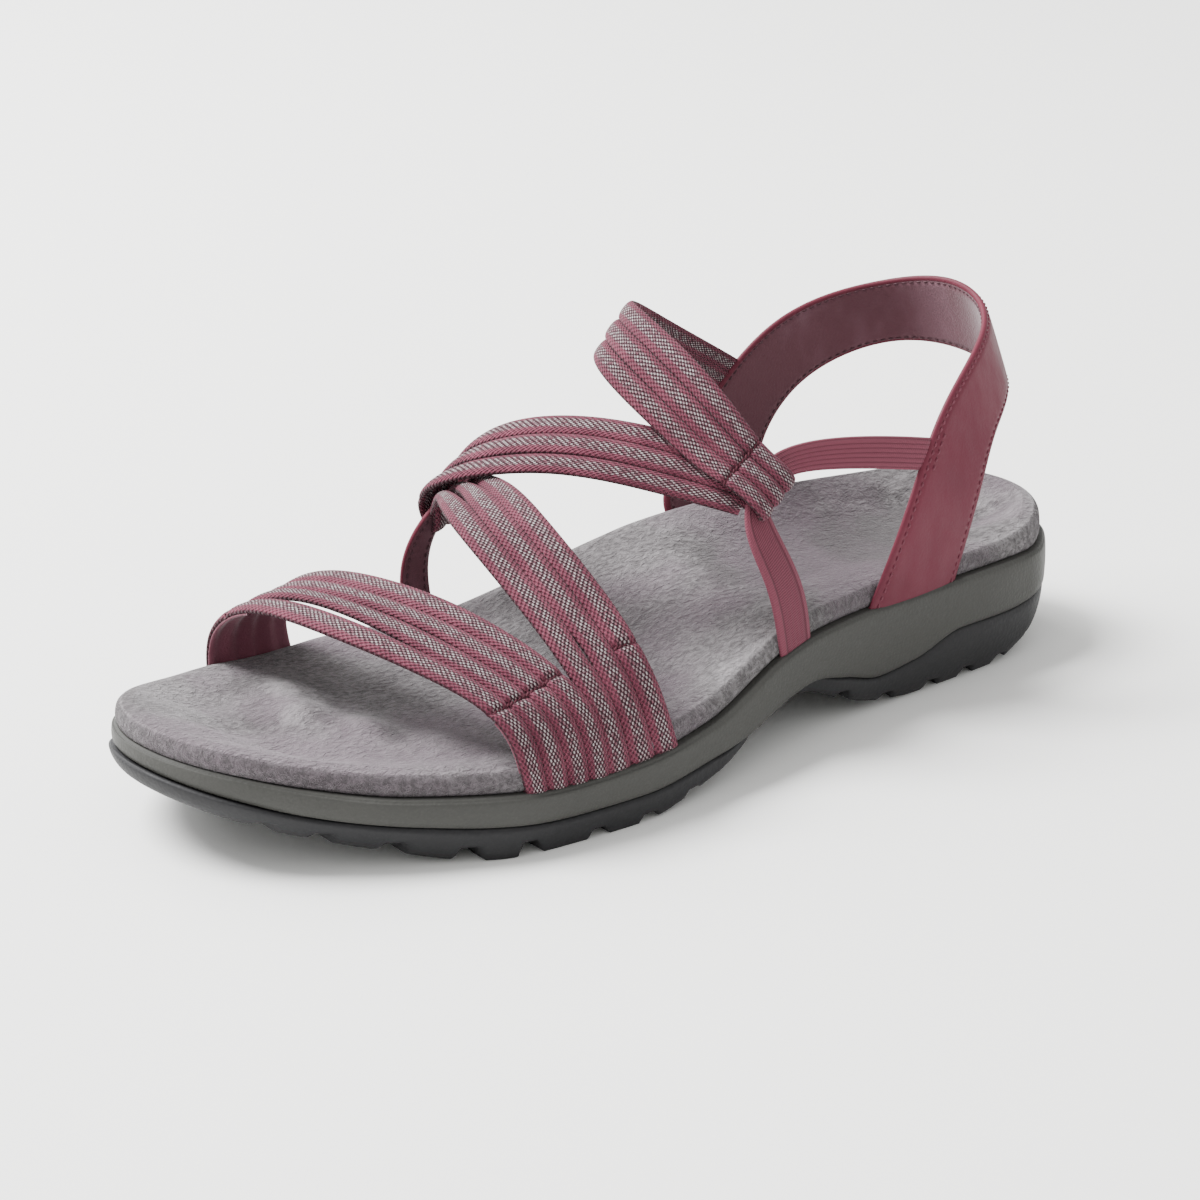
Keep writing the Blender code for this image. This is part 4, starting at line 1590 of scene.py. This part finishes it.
    def build(self) -> None:
        """Build every strap with its facings, then the tacks."""
        plans = [self.toe_strap(), self.diagonal_strap(), self.crossing_strap(), self.instep_strap()]
        for plan in plans:
            self.build_strap(plan)
            self.build_linings(plan)
        self.build_tacks(plans)


@dataclass
class Sling:
    """Leather heel strap and side strip, with their lining and stitches, and the ribbed webbing.

    A seam is a share of the half width off the middle. web_press flattens the webbing in the heel strap.
    anchor_run is a part of the heel strap's length and anchor_share the way across it from the front edge.
    """

    form: SoleForm
    palette: Palette
    leather: Section = Section(half=1.1, crown=0.2, square=10.0, edge=0.45, press_at=0.86, press=0.2,
                               count=84)
    slim: Section = Section(half=0.8, crown=0.1, square=8.0, edge=0.45, count=40)
    web: Section = Section(half=0.72, crown=0.05, square=8.0, ribs=7, rib_rise=0.05, count=96)
    thread: Thread = Thread(pitch=2.05, length=1.55, radius=0.27)
    strip_seam: float = 0.62
    web_press: float = 0.75
    anchor_run: tuple[float, float] = (0.158, 0.208)
    anchor_share: tuple[float, float] = (0.15, 0.135)
    anchor_lift: float = 1.15

    def heel_path(self) -> Path:
        """Heel strap from the lateral rim, round the heel, to the medial rim.

        Returns:
            The path.
        """
        base = self.form.base
        rows = (
            base(Side.LATERAL, 48.7, 77.5, -0.5),
            (34.4, 57.8, 48.0, 31.6, 84.2, 46.5), (28.4, 74.6, 70.0, 25.4, 94.9, 59.0),
            (14.2, 100.4, 83.2, 12.9, 110.0, 65.0), (-11.0, 112.0, 86.5, -9.1, 117.6, 66.9),
            (-30.3, 103.6, 82.5, -28.6, 110.3, 66.2), (-39.4, 79.0, 74.0, -39.0, 88.2, 56.8),
            (-39.4, 53.5, 52.5, -37.6, 73.6, 40.8), (-34.8, 40.4, 36.0, -33.0, 71.5, 33.6),
            base(Side.MEDIAL, 43.0, 71.0, -0.3),
        )
        return self.path(rows, 300, (0.0, 60.0, 30.0))

    def web_path(self) -> Path:
        """Webbing from the lateral rim up through the keeper and back to the heel strap.

        Returns:
            The path.
        """
        rows = (
            self.form.base(Side.LATERAL, 17.0, 27.6, -0.5),
            (37.5, 13.0, 42.0, 35.5, 24.0, 42.0), (31.5, 11.5, 56.0, 30.5, 18.8, 57.5),
            (27.0, 18.5, 65.0, 27.8, 23.0, 60.5), (25.0, 29.0, 68.5, 26.3, 30.5, 62.0),
            (28.1, 46.9, 68.5, 30.4, 48.0, 60.9), (30.8, 67.0, 64.9, 32.2, 65.0, 57.5),
            (30.1, 74.0, 62.8, 31.5, 73.0, 55.6),
        )
        return self.path(rows, 260, (0.0, 40.0, 30.0))

    def strip_path(self) -> Path:
        """Leather strip from the medial rim up through the keeper and down again.

        Returns:
            The path.
        """
        base = self.form.base
        rows = (
            base(Side.MEDIAL, -32.5, -24.6, -0.5),
            (-43.0, -33.0, 32.0, -42.5, -25.5, 31.0), (-40.0, -29.0, 44.5, -40.5, -23.5, 42.0),
            (-38.5, -21.5, 51.5, -40.0, -18.0, 45.5), (-39.0, -13.0, 53.0, -40.5, -12.5, 45.3),
            (-37.5, 0.5, 41.0, -38.3, -4.5, 35.0),
            base(Side.MEDIAL, 13.5, 3.5, -0.5),
        )
        return self.path(rows, 220, (0.0, -10.0, 30.0))

    @staticmethod
    def path(rows: Table, stations: int, core: Place) -> Path:
        """Path through section rows, facing away from a core point."""
        edges = natural_spline(rows, np.linspace(0.0, 1.0, stations))
        return Path.between(edges[:, :3], edges[:, 3:], np.array(core))

    @staticmethod
    def lined(uv: Array) -> Array:
        """Slot of each face: lining on the back, away from the turned edges."""
        return ((uv[:, 1] > 1.05) & (uv[:, 1] < 1.95)).astype(int)

    def build_leather(self, name: str, path: Path, section: Section, node: str) -> Piece:
        """Leather strap with a cloth back."""
        materials = [self.palette.leather, self.palette.lining]
        return settle(path.skin(section).to_object(name, materials, self.lined), node)

    def build_stitches(self, name: str, path: Path, section: Section, x: float, node: str) -> None:
        """Edge stitches on the face, and the same seam in a duller thread on the back.

        Args:
            name: the front piece's name.
            path: path of the strap.
            section: the strap's section.
            x: seam, as a share of the half width.
            node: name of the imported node.
        """
        bulge = section.crown * (1.0 - x * x)
        face = float(section.height(np.array(x)))
        for label, height, out, thread in (("", bulge + face, path.out, self.palette.rose_thread),
                                           ("_back", bulge - face, -path.out, self.palette.dull_thread)):
            rows = [self.thread.row(path.line(side * x, height), out) for side in (-1.0, 1.0)]
            settle(Surface.joined(rows).to_object(name + label, [thread]), node)

    def build_anchor(self, path: Path) -> None:
        """Short second row of stitches beside the front seam, where the webbing is sewn in.

        Args:
            path: path of the heel strap.
        """
        t = np.linspace(0.0, 1.0, len(path.front))
        keep = (t > self.anchor_run[0]) & (t < self.anchor_run[1])
        share = np.linspace(*self.anchor_share, keep.sum())[:, None]
        line = (path.front + path.out * self.anchor_lift)[keep] + (path.rear - path.front)[keep] * share
        row = self.thread.row(line, path.out[keep])
        settle(row.to_object("webbing_anchor_stitches", [self.palette.rose_thread]), "heel_strap")

    def build(self) -> None:
        """Build the heel strap, the side strip and the webbing."""
        heel, web, strip = self.heel_path(), self.web_path(), self.strip_path()
        self.build_leather("heel_strap_leather", heel, self.leather, "heel_strap")
        self.build_stitches("heel_strap_stitches", heel, self.leather, self.leather.press_at, "heel_strap")
        self.build_leather("side_strip_leather", strip, self.slim, "side_strip")
        self.build_stitches("side_strip_stitches", strip, self.slim, self.strip_seam, "side_strip")
        pressed = self.web_press * smoothstep(0.89, 0.925, np.linspace(0.0, 1.0, len(web.front)))
        webbing = web.skin(self.web, pressed).to_object("ribbed_webbing", [self.palette.webbing])
        settle(webbing, "elastic_webbing")
        self.build_anchor(heel)


def aimed(name: str, data: bpy.types.ID, place: Place, target: Place) -> Piece:
    """Linked lamp or camera at a place, looking at a target, both in metres.

    Args:
        name: the object's name.
        data: light or camera data.
        place: where it stands.
        target: where it looks.

    Returns:
        The object.
    """
    obj = bpy.data.objects.new(name, data)
    obj.location = place
    obj.rotation_mode = "QUATERNION"
    obj.rotation_quaternion = (Vector(target) - Vector(place)).to_track_quat("-Z", "Y")
    bpy.context.scene.collection.objects.link(obj)
    return obj


@dataclass(frozen=True)
class Lamp:
    """Soft area light: its place and target in metres, size and power."""

    name: str
    place: Place
    target: Place
    size: float
    power: float

    def build(self) -> None:
        """Add the light."""
        data = bpy.data.lights.new(self.name, "AREA")
        data.shape = "DISK"
        data.size = self.size
        data.energy = self.power
        aimed(self.name, data, self.place, self.target)


@dataclass
class Studio:
    """Pale floor, soft light and a camera at the photograph's angle to the shoe.

    Places are in metres, lens and sensor in millimetres.
    """

    eye: Place = (0.59373, -0.46042, 0.32236)
    aim: Place = (0.004, -0.010, 0.034)
    lens: float = 103.0
    sensor: float = 36.0
    floor_size: float = 12.0
    floor_colour: Colour = (0.93, 0.93, 0.915)
    sky: Colour = (1.0, 1.0, 0.99)
    sky_strength: float = 1.06
    lamps: tuple[Lamp, ...] = (
        Lamp("key", (-0.90, -0.77, 1.65), (0.0, 0.0, 0.03), 1.1, 117.0),
        Lamp("fill", (-1.45, -0.30, 1.20), (0.0, 0.0, 0.04), 1.6, 40.0),
    )

    def build(self) -> None:
        """Make floor, world, lamps and camera."""
        side = self.floor_size / 2.0
        mesh = bpy.data.meshes.new("floor")
        corners = [(-side, -side, 0.0), (side, -side, 0.0), (side, side, 0.0), (-side, side, 0.0)]
        mesh.from_pydata(corners, [], [(0, 1, 2, 3)])
        mesh.materials.append(PlainFinish("floor", self.floor_colour, 0.7, 0.01, 3.0).material())
        floor = bpy.data.objects.new("floor", mesh)
        bpy.context.scene.collection.objects.link(floor)
        world = bpy.data.worlds.new("studio")
        world.use_nodes = True
        sky = world.node_tree.nodes["Background"]
        sky.inputs["Color"].default_value = (*self.sky, 1.0)
        sky.inputs["Strength"].default_value = self.sky_strength
        bpy.context.scene.world = world
        for lamp in self.lamps:
            lamp.build()
        data = bpy.data.cameras.new("camera")
        data.sensor_width = self.sensor
        data.lens = self.lens
        bpy.context.scene.camera = aimed("camera", data, self.eye, self.aim)


def main() -> None:
    """Dress the packed sandal and set the stage."""
    logging.basicConfig(level=logging.INFO, format="%(name)s: %(message)s")
    for old in list(bpy.data.objects):
        bpy.data.objects.remove(old, do_unlink=True)
    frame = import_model()
    LOG.info("frame: %d nodes to dress", len(frame["nodes"]))
    Studio().build()
    form = SoleForm()
    palette = Palette()
    Sole(form, palette).build()
    Sling(form, palette).build()
    Upper(form, palette).build()


if __name__ == "__main__":
    main()
